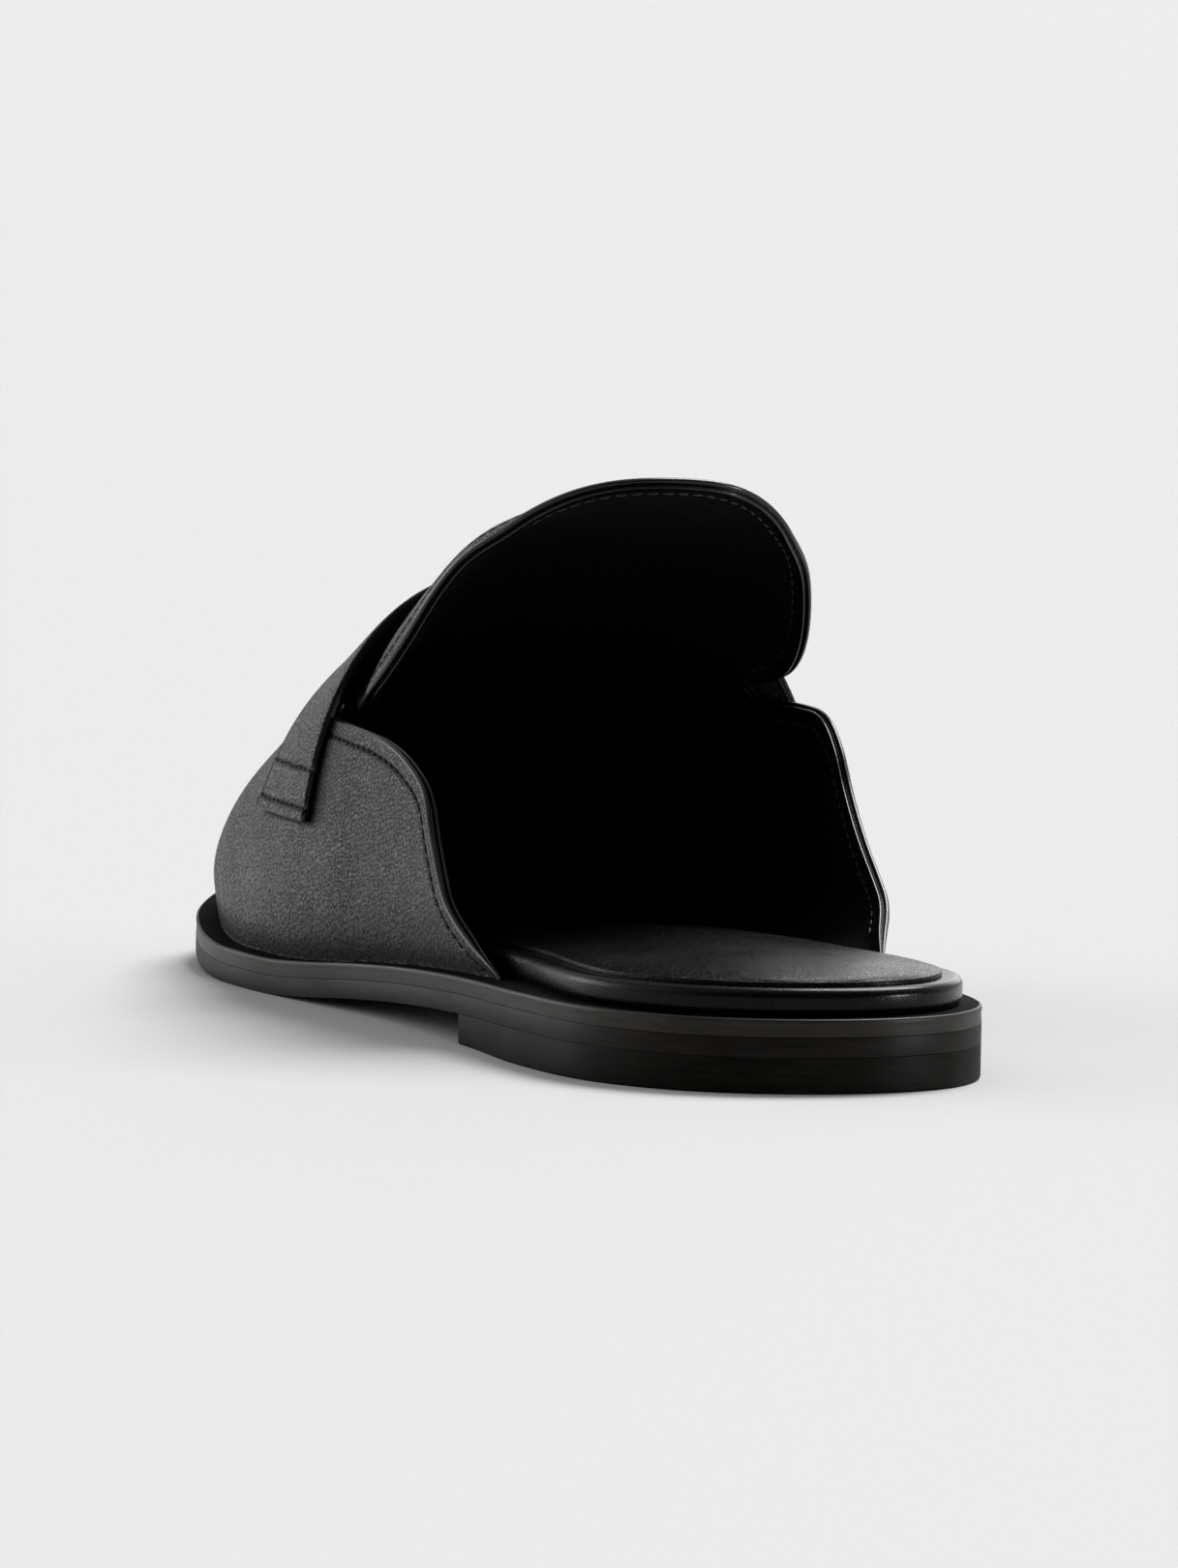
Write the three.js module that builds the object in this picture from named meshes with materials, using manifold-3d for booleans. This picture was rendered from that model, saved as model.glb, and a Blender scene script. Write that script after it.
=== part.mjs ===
import * as THREE from 'three';
import Module from 'manifold-3d';

// Left loafer mule: a backless leather slip-on on a low heel, with a raised tongue under a saddle strap.
// Millimetres, z up from the floor. While the pieces are worked out, y runs from the back of the heel
// to the toe, and x from the outer side of the foot (negative) to its inner side (positive).

// Driving sizes
const soleLength = 276;
const ballWidth = 95.5;
const instepHeight = 75.6;
const heelThickness = 5.4;
const heelLength = 85;
const outsoleThickness = 2.9;
const weltThickness = 2.8;
const footbedThickness = 4.2;
const sockThickness = 1.0;
const upperWall = 2.2;
const tongueThickness = 2.2;
const strapThickness = 1.5;
const toeSpring = 6.6;

// Margins and clearances
const seamGap = 0.3;
const liningGap = 0.5;
const rimMargin = 3.1;
const upperMargin = 3.9;
const sockMargin = 3.3;
const tuckHeight = 13;
const edgeRound = 0.5;
const rimRound = 1.5;
const toeSwell = 0.02;

// Where the footbed's rim, the upper, its opening and its overlays start and stop, along the foot
const rimBack = 27.6;
const upperBack = 70;
const fanStart = 205;
const ridgeEnd = 243;
const throatLine = 168;
const throatRound = 9;
const quarterMargin = 10.25;
const strapBack = 158;
const strapFront = 179;
const strapFlare = 10;
const strapEndHeight = 30;
const tongueApex = 98;
const tongueFront = 182;
const tongueMargin = 10.75;
const tongueTaper = 4;
const tongueRound = 45;
const tongueFullness = 1.8;
const tongueSink = 0.9;
const tongueDive = 12;

// Half widths that follow the ball of the foot
const quarterHalfWidth = ballWidth / 2 - quarterMargin;
const tongueHalfWidth = ballWidth / 2 - tongueMargin;
const tongueFrontHalfWidth = tongueHalfWidth - tongueTaper;

// Edge of the sole. at: share of the sole length from the back of the heel.
// outer, inner: distance of each edge from the middle line, shares of the ball width.
const OUTLINE = [
  { at: 0.008, outer: 0.136, inner: 0.126 },
  { at: 0.034, outer: 0.251, inner: 0.243 },
  { at: 0.09, outer: 0.346, inner: 0.335 },
  { at: 0.18, outer: 0.387, inner: 0.366 },
  { at: 0.29, outer: 0.388, inner: 0.358 },
  { at: 0.4, outer: 0.398, inner: 0.344 },
  { at: 0.5, outer: 0.424, inner: 0.362 },
  { at: 0.59, outer: 0.466, inner: 0.42 },
  { at: 0.67, outer: 0.496, inner: 0.465 },
  { at: 0.745, outer: 0.503, inner: 0.497 },
  { at: 0.81, outer: 0.48, inner: 0.485 },
  { at: 0.885, outer: 0.421, inner: 0.425 },
  { at: 0.953, outer: 0.31, inner: 0.305 },
  { at: 0.99, outer: 0.162, inner: 0.155 },
];

// Underside of the outsole. at: share of the sole length.
// heel: share of the heel's lift, toe: share of the toe spring.
const UNDERSIDE = [
  { at: 0, heel: 1, toe: 0 },
  { at: 0.15, heel: 1, toe: 0 },
  { at: 0.3, heel: 0.87, toe: 0 },
  { at: 0.42, heel: 0.65, toe: 0 },
  { at: 0.51, heel: 0.39, toe: 0 },
  { at: 0.57, heel: 0.17, toe: 0 },
  { at: 0.61, heel: 0.05, toe: 0 },
  { at: 0.64, heel: 0, toe: 0 },
  { at: 0.71, heel: 0, toe: 0 },
  { at: 0.77, heel: 0, toe: 0.11 },
  { at: 0.85, heel: 0, toe: 0.35 },
  { at: 0.93, heel: 0, toe: 0.68 },
  { at: 1, heel: 0, toe: 1 },
];

// Arches of the upper. at: share of the sole length. outer, inner: greatest half widths, shares of
// the ball width. crown: height of the middle line, share of the instep height. full: squareness.
const ARCHES = [
  { at: 0.25, outer: 0.37, inner: 0.362, crown: 1.33, full: 3.3 },
  { at: 0.33, outer: 0.388, inner: 0.393, crown: 1.245, full: 3.3 },
  { at: 0.4, outer: 0.393, inner: 0.406, crown: 1.17, full: 3.5 },
  { at: 0.44, outer: 0.4, inner: 0.416, crown: 1.125, full: 4 },
  { at: 0.49, outer: 0.422, inner: 0.436, crown: 1.07, full: 3.4 },
  { at: 0.545, outer: 0.452, inner: 0.466, crown: 1, full: 2.8 },
  { at: 0.634, outer: 0.472, inner: 0.483, crown: 0.86, full: 2.65 },
  { at: 0.7, outer: 0.47, inner: 0.488, crown: 0.768, full: 2.7 },
  { at: 0.76, outer: 0.458, inner: 0.482, crown: 0.682, full: 2.6 },
  { at: 0.83, outer: 0.416, inner: 0.448, crown: 0.592, full: 2.45 },
  { at: 0.89, outer: 0.375, inner: 0.385, crown: 0.512, full: 2.3 },
  { at: 1, outer: 0.375, inner: 0.385, crown: 0.38, full: 2.2 },
];

// Rear and top edge of the quarters, seen from the side. outerAt, innerAt: shares of the sole length.
// outerUp, innerUp: heights on the outer and the inner quarter, shares of the instep height.
const QUARTER_EDGE = [
  { outerAt: 0.272, outerUp: 0.1, innerAt: 0.25, innerUp: 0.1 },
  { outerAt: 0.295, outerUp: 0.157, innerAt: 0.271, innerUp: 0.165 },
  { outerAt: 0.328, outerUp: 0.212, innerAt: 0.303, innerUp: 0.23 },
  { outerAt: 0.362, outerUp: 0.3, innerAt: 0.338, innerUp: 0.31 },
  { outerAt: 0.388, outerUp: 0.42, innerAt: 0.387, innerUp: 0.41 },
  { outerAt: 0.404, outerUp: 0.515, innerAt: 0.427, innerUp: 0.51 },
  { outerAt: 0.434, outerUp: 0.576, innerAt: 0.456, innerUp: 0.6 },
  { outerAt: 0.48, outerUp: 0.614, innerAt: 0.487, innerUp: 0.66 },
  { outerAt: 0.54, outerUp: 0.63, innerAt: 0.53, innerUp: 0.672 },
  { outerAt: 0.6, outerUp: 0.634, innerAt: 0.6, innerUp: 0.674 },
];

const wasm = await Module();
wasm.setup();

/** Smooth curve through one column of a table that never swings past its rows. */
function follow(table, key, at) {
  const last = table.length - 1;
  if (at <= table[0].at) return table[0][key];
  if (at >= table[last].at) return table[last][key];
  const i = table.findIndex((row) => row.at > at) - 1;
  const slope = (k) => (table[k + 1][key] - table[k][key]) / (table[k + 1].at - table[k].at);
  const tangent = (k) => {
    if (k === 0) return slope(0);
    if (k === last) return slope(last - 1);
    const before = slope(k - 1);
    const after = slope(k);
    return before * after > 0 ? (2 * before * after) / (before + after) : 0;
  };
  const width = table[i + 1].at - table[i].at;
  const t = (at - table[i].at) / width;
  const rise = table[i + 1][key] - table[i][key];
  const start = tangent(i) * width;
  const end = tangent(i + 1) * width;
  const bend = 3 * rise - 2 * start - end;
  return table[i][key] + t * start + t * t * bend + t * t * t * (rise - start - bend);
}

/** Height of the outsole's underside above the floor. */
function underside(y) {
  const at = y / soleLength;
  const lift = heelThickness + seamGap;
  return follow(UNDERSIDE, 'heel', at) * lift + follow(UNDERSIDE, 'toe', at) * toeSpring;
}

const outsoleTop = (y) => underside(y) + outsoleThickness;
const weltTop = (y) => outsoleTop(y) + seamGap + weltThickness;
const upperBase = (y) => weltTop(y) + seamGap;
const footbedTop = (y) => upperBase(y) + footbedThickness;
const sockBase = (y) => footbedTop(y) + seamGap;

/** Points all round the edge of the sole, from the back of the heel along the outer side first. */
function soleEdge() {
  const steps = 600;
  const place = (row, side, key) => new THREE.Vector3(side * row[key] * ballWidth, row.at * soleLength, 0);
  const outer = OUTLINE.map((row) => place(row, -1, 'outer'));
  const inner = OUTLINE.map((row) => place(row, 1, 'inner')).reverse();
  const toe = new THREE.Vector3(0, soleLength, 0);
  const loop = [new THREE.Vector3(0, 0, 0), ...outer, toe, ...inner];
  return new THREE.CatmullRomCurve3(loop, true, 'centripetal').getPoints(steps).slice(0, -1);
}

const SOLE_EDGE = soleEdge();

/** The sole's edge moved inwards by inset(y), as an outer and an inner side, both from back to front. */
function insetSides(inset) {
  const count = SOLE_EDGE.length;
  const moved = SOLE_EDGE.map((p, i) => {
    const along = SOLE_EDGE[(i + 1) % count].clone().sub(SOLE_EDGE[(i + count - 1) % count]).normalize();
    return { x: p.x + along.y * inset(p.y), y: p.y - along.x * inset(p.y) };
  });
  const front = moved.reduce((best, p, i) => (p.y > moved[best].y ? i : best), 0);
  return { outer: moved.slice(0, front + 1), inner: [...moved.slice(front), moved[0]].reverse() };
}

/** x of a side at the given y. */
function sideAt(side, y) {
  const i = side.findIndex((p) => p.y >= y);
  if (i < 0) return side[side.length - 1].x;
  if (i === 0) return side[0].x;
  const t = (y - side[i - 1].y) / (side[i].y - side[i - 1].y);
  return side[i - 1].x + t * (side[i].x - side[i - 1].x);
}

/** Smooth step from 0 at a to 1 at b. */
function ease(a, b, value) {
  const t = Math.min(1, Math.max(0, (value - a) / (b - a)));
  return t * t * (3 - 2 * t);
}

/** Key of a point, the same for points that fall together. */
function pointKey(p) {
  const perMillimetre = 1e4;
  return [p.x, p.y, p.z].map((c) => Math.round(c * perMillimetre)).join();
}

/** Closed solid from a list of triangles, corners as THREE.Vector3. */
function solidFrom(triangles) {
  const index = new Map();
  const positions = [];
  const corners = [];
  for (const triangle of triangles) {
    const ids = triangle.map((p) => {
      const key = pointKey(p);
      if (!index.has(key)) {
        index.set(key, positions.length / 3);
        positions.push(p.x, p.y, p.z);
      }
      return index.get(key);
    });
    if (new Set(ids).size === 3) corners.push(...ids);
  }
  const vertProperties = new Float32Array(positions);
  const triVerts = new Uint32Array(corners);
  return new wasm.Manifold(new wasm.Mesh({ numProp: 3, vertProperties, triVerts }));
}

/** Two triangles across the corners a, b, c, d. */
function quad(a, b, c, d) {
  return [[a, b, c], [a, c, d]];
}

/** Triangles of a grid of points, row by row. */
function gridFaces(grid) {
  const faces = [];
  for (let r = 0; r + 1 < grid.length; r += 1) {
    for (let c = 0; c + 1 < grid[r].length; c += 1) {
      faces.push(...quad(grid[r][c], grid[r][c + 1], grid[r + 1][c + 1], grid[r + 1][c]));
    }
  }
  return faces;
}

/** Strip of triangles between two lines of points. */
function strip(from, to) {
  return gridFaces([from, to]);
}

/** Sole layer stacked from levels { inset(y), z(y) }, bottom first, cut off straight at y = front. */
function layer(levels, front = Infinity, stations = 56) {
  const rings = levels.map(({ inset, z }) => {
    const sides = insetSides(inset);
    const back = sides.outer[0].y;
    const end = Math.min(front, sides.outer[sides.outer.length - 1].y);
    const blunt = end === front;
    const rows = Array.from({ length: stations + 1 }, (_, k) => {
      const turn = (k / stations) * (blunt ? Math.PI / 2 : Math.PI);
      const y = back + (end - back) * (blunt ? 1 - Math.cos(turn) : (1 - Math.cos(turn)) / 2);
      const tip = k === 0 || (k === stations && !blunt);
      const left = sideAt(sides.outer, y);
      const right = tip ? left : sideAt(sides.inner, y);
      return [new THREE.Vector3(left, y, z(y)), new THREE.Vector3(right, y, z(y))];
    });
    return rows;
  });
  const loop = (rows) => {
    const left = rows.map((row) => row[0]);
    const right = rows.map((row) => row[1]).reverse();
    return [...left, ...right];
  };
  const top = gridFaces(rings[rings.length - 1]);
  const bottom = gridFaces(rings[0]).map((face) => face.reverse());
  const walls = rings.slice(1).flatMap((rows, i) => strip(loop(rows), loop(rings[i])));
  return solidFrom([...top, ...bottom, ...walls]);
}

const baseSides = insetSides(() => upperMargin);
const toeTip = baseSides.outer[baseSides.outer.length - 1];
const fanShare = (ridgeEnd - fanStart) / (toeTip.y - fanStart);

/** Where the crown of the section lies whose edge stands at y: level with it, but fanned round the toe. */
function crownStation(y) {
  return y < fanStart ? y : fanStart + (y - fanStart) * fanShare;
}

/** Height of the upper's middle line, carried on past the toe. */
function crownHeight(y) {
  return follow(ARCHES, 'crown', y / soleLength) * instepHeight;
}

/** Point on the outside of the last. y is where the section meets the welt on that side, side is -1
 *  for the outer and 1 for the inner side, and turn runs from 0 at the welt to 1 at the crown. */
function lastPoint(y, side, turn) {
  const crownY = crownStation(y);
  const at = crownY / soleLength;
  const baseX = Math.abs(sideAt(side < 0 ? baseSides.outer : baseSides.inner, y));
  const run = Math.hypot(baseX, y - crownY);
  const swell = follow(ARCHES, side < 0 ? 'outer' : 'inner', at) * ballWidth;
  const fan = y < fanStart ? 0 : (y - fanStart) / (toeTip.y - fanStart);
  const width = THREE.MathUtils.lerp(swell - baseX, toeSwell * run, ease(0, 1, fan)) + run;
  const full = follow(ARCHES, 'full', at);
  const angle = (turn * Math.PI) / 2;
  const rise = Math.sin(angle) ** (2 / full);
  const base = upperBase(y);
  const tuck = Math.max(0, 1 - (rise * (crownHeight(crownY) - base)) / tuckHeight) ** 2;
  const reach = turn === 1 ? 0 : width * Math.cos(angle) ** (2 / full) - (width - run) * tuck;
  const share = reach / run;
  const alongFoot = crownY + (y - crownY) * share;
  return new THREE.Vector3(side * baseX * share, alongFoot, base + rise * (crownHeight(alongFoot) - base));
}

/** Turn at which the section at y reaches the half width x on one side. */
function turnAtWidth(y, side, x) {
  const at = y / soleLength;
  const width = follow(ARCHES, side < 0 ? 'outer' : 'inner', at) * ballWidth;
  return (Math.acos(Math.min(1, x / width) ** (follow(ARCHES, 'full', at) / 2)) * 2) / Math.PI;
}

/** Turn at which the section at y reaches the height z. */
function turnAtHeight(y, z) {
  const at = crownStation(y) / soleLength;
  const share = (z - upperBase(y)) / (crownHeight(crownStation(y)) - upperBase(y));
  return (Math.asin(share ** (follow(ARCHES, 'full', at) / 2)) * 2) / Math.PI;
}

/** Whole section across the foot, from the welt on the outer side over the crown to the inner side,
 *  with tuckSteps points up the tucked foot of each wall and archSteps over each half of the arch. */
function lastSection(y, tuckSteps, archSteps) {
  const turns = [];
  for (let k = 0; k < tuckSteps; k += 1) {
    turns.push(turnAtHeight(y, upperBase(y) + (k / tuckSteps) * tuckHeight));
  }
  const start = turnAtHeight(y, upperBase(y) + tuckHeight);
  for (let k = 0; k <= archSteps; k += 1) turns.push(THREE.MathUtils.lerp(start, 1, k / archSteps));
  const outer = turns.map((turn) => lastPoint(y, -1, turn));
  const inner = turns.slice(0, -1).reverse().map((turn) => lastPoint(y, 1, turn));
  return [...outer, ...inner];
}

/** Unit normals of the last over a grid of its points, pointing outwards. */
function gridNormals(grid) {
  const sums = new Map();
  for (const [a, b, c] of gridFaces(grid)) {
    const normal = b.clone().sub(a).cross(c.clone().sub(a));
    for (const key of [a, b, c].map(pointKey)) {
      sums.set(key, (sums.get(key) || new THREE.Vector3()).add(normal));
    }
  }
  return grid.map((row) => row.map((p) => sums.get(pointKey(p)).clone().normalize()));
}

/** Grid moved into the last by depth(point, row) along its normals. */
function sunk(grid, normals, depth) {
  return grid.map((row, r) => row.map((p, c) => p.clone().addScaledVector(normals[r][c], -depth(p, r))));
}

/** Solid between two grids, closed along all four borders. */
function sheet(outside, inside) {
  const faces = [...gridFaces(outside), ...gridFaces(inside).map((face) => face.reverse())];
  const column = (grid, c) => grid.map((row) => row[c]);
  const last = outside[0].length - 1;
  faces.push(...strip(inside[0], outside[0]));
  faces.push(...strip(outside[outside.length - 1], inside[inside.length - 1]));
  faces.push(...strip(column(outside, 0), column(inside, 0)));
  faces.push(...strip(column(inside, last), column(outside, last)));
  return solidFrom(faces);
}

/** Line of the rear edge of one quarter and of the throat above it, as points along and up. */
function openingLine(along, up) {
  const stepsPerSpan = 3;
  const edge = QUARTER_EDGE.map((row) => new THREE.Vector2(row[along] * soleLength, row[up] * instepHeight));
  const rear = new THREE.SplineCurve(edge).getPoints(stepsPerSpan * (edge.length - 1));
  const top = rear[rear.length - 1].y;
  const clear = 2 * instepHeight;
  const throat = [
    new THREE.Vector2(throatLine, top + throatRound),
    new THREE.Vector2(throatLine, clear),
    new THREE.Vector2(0, clear),
    new THREE.Vector2(0, rear[0].y),
  ];
  return [...rear, ...throat];
}

/** Everything behind and above the rear edge of the quarters and the throat, as one solid to cut away. */
function openingSolid() {
  const outer = openingLine('outerAt', 'outerUp');
  const inner = openingLine('innerAt', 'innerUp');
  const slice = (x) => outer.map((p, i) => {
    const share = (x + quarterHalfWidth) / (2 * quarterHalfWidth);
    const point = p.clone().lerp(inner[i], share);
    return new THREE.Vector3(x, point.x, point.y);
  });
  const slices = [-ballWidth, -quarterHalfWidth, quarterHalfWidth, ballWidth].map(slice);
  const cap = THREE.ShapeUtils.triangulateShape(outer, []);
  const capFaces = (line) => cap.map(([a, b, c]) => [line[a], line[b], line[c]]);
  const faces = [...capFaces(slices[3]), ...capFaces(slices[0]).map((face) => face.reverse())];
  const closed = (line) => [...line, line[0]];
  slices.slice(1).forEach((line, i) => faces.push(...strip(closed(slices[i]), closed(line))));
  return solidFrom(faces);
}

/** Vamp and quarters: a hollow shell over the last, open underneath, behind and at the throat. */
function makeUpper() {
  const straightRows = 20;
  const fanRows = 13;
  const tuckSteps = 4;
  const archSteps = 10;
  const stations = [];
  for (let k = 0; k < straightRows; k += 1) {
    stations.push(upperBack + ((fanStart - upperBack) * k) / straightRows);
  }
  for (let k = 0; k <= fanRows; k += 1) {
    stations.push(fanStart + (toeTip.y - fanStart) * Math.sin((k / fanRows) * (Math.PI / 2)));
  }
  const outside = stations.map((y) => lastSection(y, tuckSteps, archSteps));
  const columns = outside[0].length - 1;
  const tip = outside.length - 1;
  const fold = (row) => row.map((p, c) => row[Math.min(c, columns - c)].clone().setX(0));
  outside[tip] = fold(outside[tip]);
  const normals = gridNormals(outside);
  normals[tip] = fold(normals[tip]).map((normal) => normal.normalize());
  const inside = sunk(outside, normals, () => upperWall);
  for (const row of inside) {
    for (const p of [row[0], row[columns]]) p.z = upperBase(p.y);
  }
  return sheet(outside, inside).subtract(openingSolid());
}

/** Tongue: a rounded leaf that starts under the vamp and rises behind the strap. */
function makeTongue() {
  const roundRows = 12;
  const straightRows = 6;
  const columns = 20;
  const rows = [];
  for (let k = 0; k <= roundRows; k += 1) {
    const angle = (k / roundRows) * (Math.PI / 2);
    const share = 1 - Math.cos(angle) ** (2 / tongueFullness);
    const half = tongueHalfWidth * Math.sin(angle) ** (2 / tongueFullness);
    rows.push({ y: tongueApex + share * tongueRound, half });
  }
  const straight = tongueFront - tongueApex - tongueRound;
  for (let k = 1; k <= straightRows; k += 1) {
    const share = k / straightRows;
    const half = THREE.MathUtils.lerp(tongueHalfWidth, tongueFrontHalfWidth, share);
    rows.push({ y: tongueApex + tongueRound + straight * share, half });
  }
  const line = ({ y, half }, c) => {
    const x = half * ((2 * c) / columns - 1);
    const side = x < 0 ? -1 : 1;
    return lastPoint(y, side, turnAtWidth(y, side, Math.abs(x)));
  };
  const skin = rows.map((row) => Array.from({ length: columns + 1 }, (_, c) => line(row, c)));
  const normals = gridNormals(skin);
  normals[0] = normals[0].map(() => normals[1][columns / 2]);
  const dive = upperWall + liningGap - tongueSink;
  const depth = (p, r) => tongueSink + dive * ease(strapBack - tongueDive, strapBack, rows[r].y);
  const outside = sunk(skin, normals, depth);
  const inside = sunk(skin, normals, (p, r) => depth(p, r) + tongueThickness);
  return sheet(outside, inside);
}

/** Saddle strap: a band over the upper and tongue, wider at its two ends on the quarters. */
function makeStrap() {
  const rowCount = 5;
  const columns = 36;
  const point = (r, c) => {
    const share = (2 * c) / columns - 1;
    const side = share < 0 ? -1 : 1;
    const front = strapFront + strapFlare * share * share;
    const y = THREE.MathUtils.lerp(strapBack, front, r / rowCount);
    const start = turnAtHeight(y, strapEndHeight);
    return lastPoint(y, side, 1 - Math.abs(share) * (1 - start));
  };
  const skin = Array.from({ length: rowCount + 1 }, (_, r) => {
    return Array.from({ length: columns + 1 }, (__, c) => point(r, c));
  });
  const normals = gridNormals(skin);
  const outside = sunk(skin, normals, () => -seamGap - strapThickness);
  const inside = sunk(skin, normals, () => -seamGap);
  return sheet(outside, inside);
}

const level = (inset, z) => ({ inset, z });
const constant = (value) => () => value;

function makeHeel() {
  const stations = 28;
  const levels = [
    level(constant(edgeRound), constant(0)),
    level(constant(0), constant(edgeRound)),
    level(constant(0), (y) => underside(y) - seamGap),
  ];
  return layer(levels, heelLength, stations);
}

function makeOutsole() {
  return layer([level(constant(0), underside), level(constant(0), outsoleTop)]);
}

function makeWelt() {
  return layer([
    level(constant(0), (y) => outsoleTop(y) + seamGap),
    level(constant(0), (y) => weltTop(y) - edgeRound),
    level(constant(edgeRound), weltTop),
  ]);
}

/** Inset of the footbed: its rim shows at the heel, and further on it lies inside the upper's wall. */
function footbedInset(y) {
  const inside = upperMargin + upperWall + liningGap;
  return THREE.MathUtils.lerp(rimMargin, inside, ease(rimBack, upperBack, y));
}

function makeFootbed() {
  const shoulder = rimRound * (1 - Math.SQRT1_2);
  return layer([
    level(footbedInset, upperBase),
    level(footbedInset, (y) => footbedTop(y) - rimRound),
    level((y) => footbedInset(y) + shoulder, (y) => footbedTop(y) - shoulder),
    level((y) => footbedInset(y) + rimRound, footbedTop),
  ]);
}

function makeSock() {
  const inset = (y) => footbedInset(y) + sockMargin;
  return layer([
    level(inset, sockBase),
    level(inset, (y) => sockBase(y) + sockThickness / 2),
    level((y) => inset(y) + edgeRound, (y) => sockBase(y) + sockThickness),
  ]);
}

/** Named mesh of a solid in its own material. */
function mesh(name, solid, color, roughness) {
  const { vertProperties, triVerts } = solid.getMesh();
  const geometry = new THREE.BufferGeometry();
  geometry.setAttribute('position', new THREE.BufferAttribute(vertProperties, 3));
  geometry.setIndex(new THREE.BufferAttribute(triVerts, 1));
  geometry.computeVertexNormals();
  const material = new THREE.MeshStandardMaterial({ color, roughness, metalness: 0 });
  const made = new THREE.Mesh(geometry, material);
  made.name = name;
  return made;
}

const group = new THREE.Group();
group.add(
  mesh('heel', makeHeel(), 0x1f1e1d, 0.6),
  mesh('outsole', makeOutsole(), 0x2c2a28, 0.6),
  mesh('welt', makeWelt(), 0x45423e, 0.5),
  mesh('footbed', makeFootbed(), 0x151515, 0.5),
  mesh('sock', makeSock(), 0x1b1b1b, 0.7),
  mesh('upper', makeUpper(), 0x161616, 0.45),
  mesh('tongue', makeTongue(), 0x161616, 0.45),
  mesh('strap', makeStrap(), 0x161616, 0.45),
);

// The origin is the middle of the shoe's bounding box, at the floor.
const middle = new THREE.Box3().setFromObject(group).getCenter(new THREE.Vector3());
group.position.set(-middle.x, -middle.y, 0);

export default group;
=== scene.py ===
"""Leather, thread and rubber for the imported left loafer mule.

Surfaces are worked out in millimetres in the shoemaker's frame: y runs from the back of the heel to
the toe, x from the outer side of the foot (negative) to its inner side, and z up from the floor.
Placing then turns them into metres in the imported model's frame.
"""
import logging
import math
from dataclasses import dataclass, field
from enum import Enum
from typing import Callable, Sequence

import bmesh
import bpy
import numpy as np
from mathutils import Matrix, Vector


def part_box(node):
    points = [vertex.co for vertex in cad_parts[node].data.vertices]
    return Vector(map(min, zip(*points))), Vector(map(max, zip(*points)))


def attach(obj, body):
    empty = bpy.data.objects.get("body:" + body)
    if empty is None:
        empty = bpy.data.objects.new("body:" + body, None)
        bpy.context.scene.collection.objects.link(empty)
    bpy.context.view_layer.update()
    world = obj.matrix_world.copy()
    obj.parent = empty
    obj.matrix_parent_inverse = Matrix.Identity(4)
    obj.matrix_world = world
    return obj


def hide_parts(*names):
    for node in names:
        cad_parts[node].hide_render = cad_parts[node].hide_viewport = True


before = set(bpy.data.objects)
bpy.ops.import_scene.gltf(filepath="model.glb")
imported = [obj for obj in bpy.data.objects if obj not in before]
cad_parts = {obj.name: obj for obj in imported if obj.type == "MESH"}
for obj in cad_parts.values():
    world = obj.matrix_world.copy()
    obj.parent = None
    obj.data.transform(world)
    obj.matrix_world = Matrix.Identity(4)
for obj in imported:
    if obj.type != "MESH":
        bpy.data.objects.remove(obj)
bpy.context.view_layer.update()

LOG = logging.getLogger("loafer_mule")
Points = np.ndarray
Height = Callable[[Points], Points]

Colour = tuple[float, float, float]
Direction = tuple[float, float, float]
Span = tuple[float, float]

METRES = 0.001
WELD = 0.002
SHARP_ANGLE = 40.0
TINY = 1e-12
LEAST_SPAN = 1e-6
BODY = "root"
# Point attribute of painted shade: how much each point's colour is darkened to stand for shade and shadow.
PAINTED_SHADE = "painted_shade"

# Parts of a noise's range that hold nearly all, most and half of its values.
NEARLY_ALL: Span = (0.1, 0.9)
MOST: Span = (0.3, 0.7)
HALF: Span = (0.35, 0.65)


class Side(Enum):
    """The two sides of the foot, as the sign of x."""

    OUTER = -1
    INNER = 1


@dataclass(frozen=True)
class Sizes:
    """Driving sizes of the shoe in millimetres, the same as the solids have."""

    sole_length: float = 276.0
    ball_width: float = 95.5
    instep_height: float = 75.6
    heel_thickness: float = 5.4
    heel_length: float = 85.0
    outsole_thickness: float = 2.9
    welt_thickness: float = 2.8
    footbed_thickness: float = 4.2
    sock_thickness: float = 1.0
    upper_wall: float = 2.2
    tongue_thickness: float = 2.2
    strap_thickness: float = 1.5
    toe_spring: float = 6.6
    seam_gap: float = 0.3
    lining_gap: float = 0.5
    rim_margin: float = 3.1
    upper_margin: float = 3.9
    sock_margin: float = 3.3
    tuck_height: float = 13.0
    rim_round: float = 1.5
    toe_swell: float = 0.02
    rim_back: float = 27.6
    upper_back: float = 70.0
    fan_start: float = 205.0
    ridge_end: float = 243.0
    throat_line: float = 168.0
    throat_round: float = 9.0
    quarter_margin: float = 10.25
    strap_back: float = 158.0
    strap_front: float = 179.0
    strap_flare: float = 10.0
    strap_end_height: float = 30.0
    tongue_apex: float = 98.0
    tongue_front: float = 182.0
    tongue_margin: float = 10.75
    tongue_taper: float = 4.0
    tongue_round: float = 45.0
    tongue_sink: float = 0.9
    tongue_dive: float = 12.0


SIZES = Sizes()

# Edge of the sole: share of the sole length, then the outer and the inner edge's distance from the
# middle line, shares of the ball width.
OUTLINE = (
    (0.008, 0.136, 0.126), (0.034, 0.251, 0.243), (0.09, 0.346, 0.335), (0.18, 0.387, 0.366),
    (0.29, 0.388, 0.358), (0.4, 0.398, 0.344), (0.5, 0.424, 0.362), (0.59, 0.466, 0.42),
    (0.67, 0.496, 0.465), (0.745, 0.503, 0.497), (0.81, 0.48, 0.485), (0.885, 0.421, 0.425),
    (0.953, 0.31, 0.305), (0.99, 0.162, 0.155),
)

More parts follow.
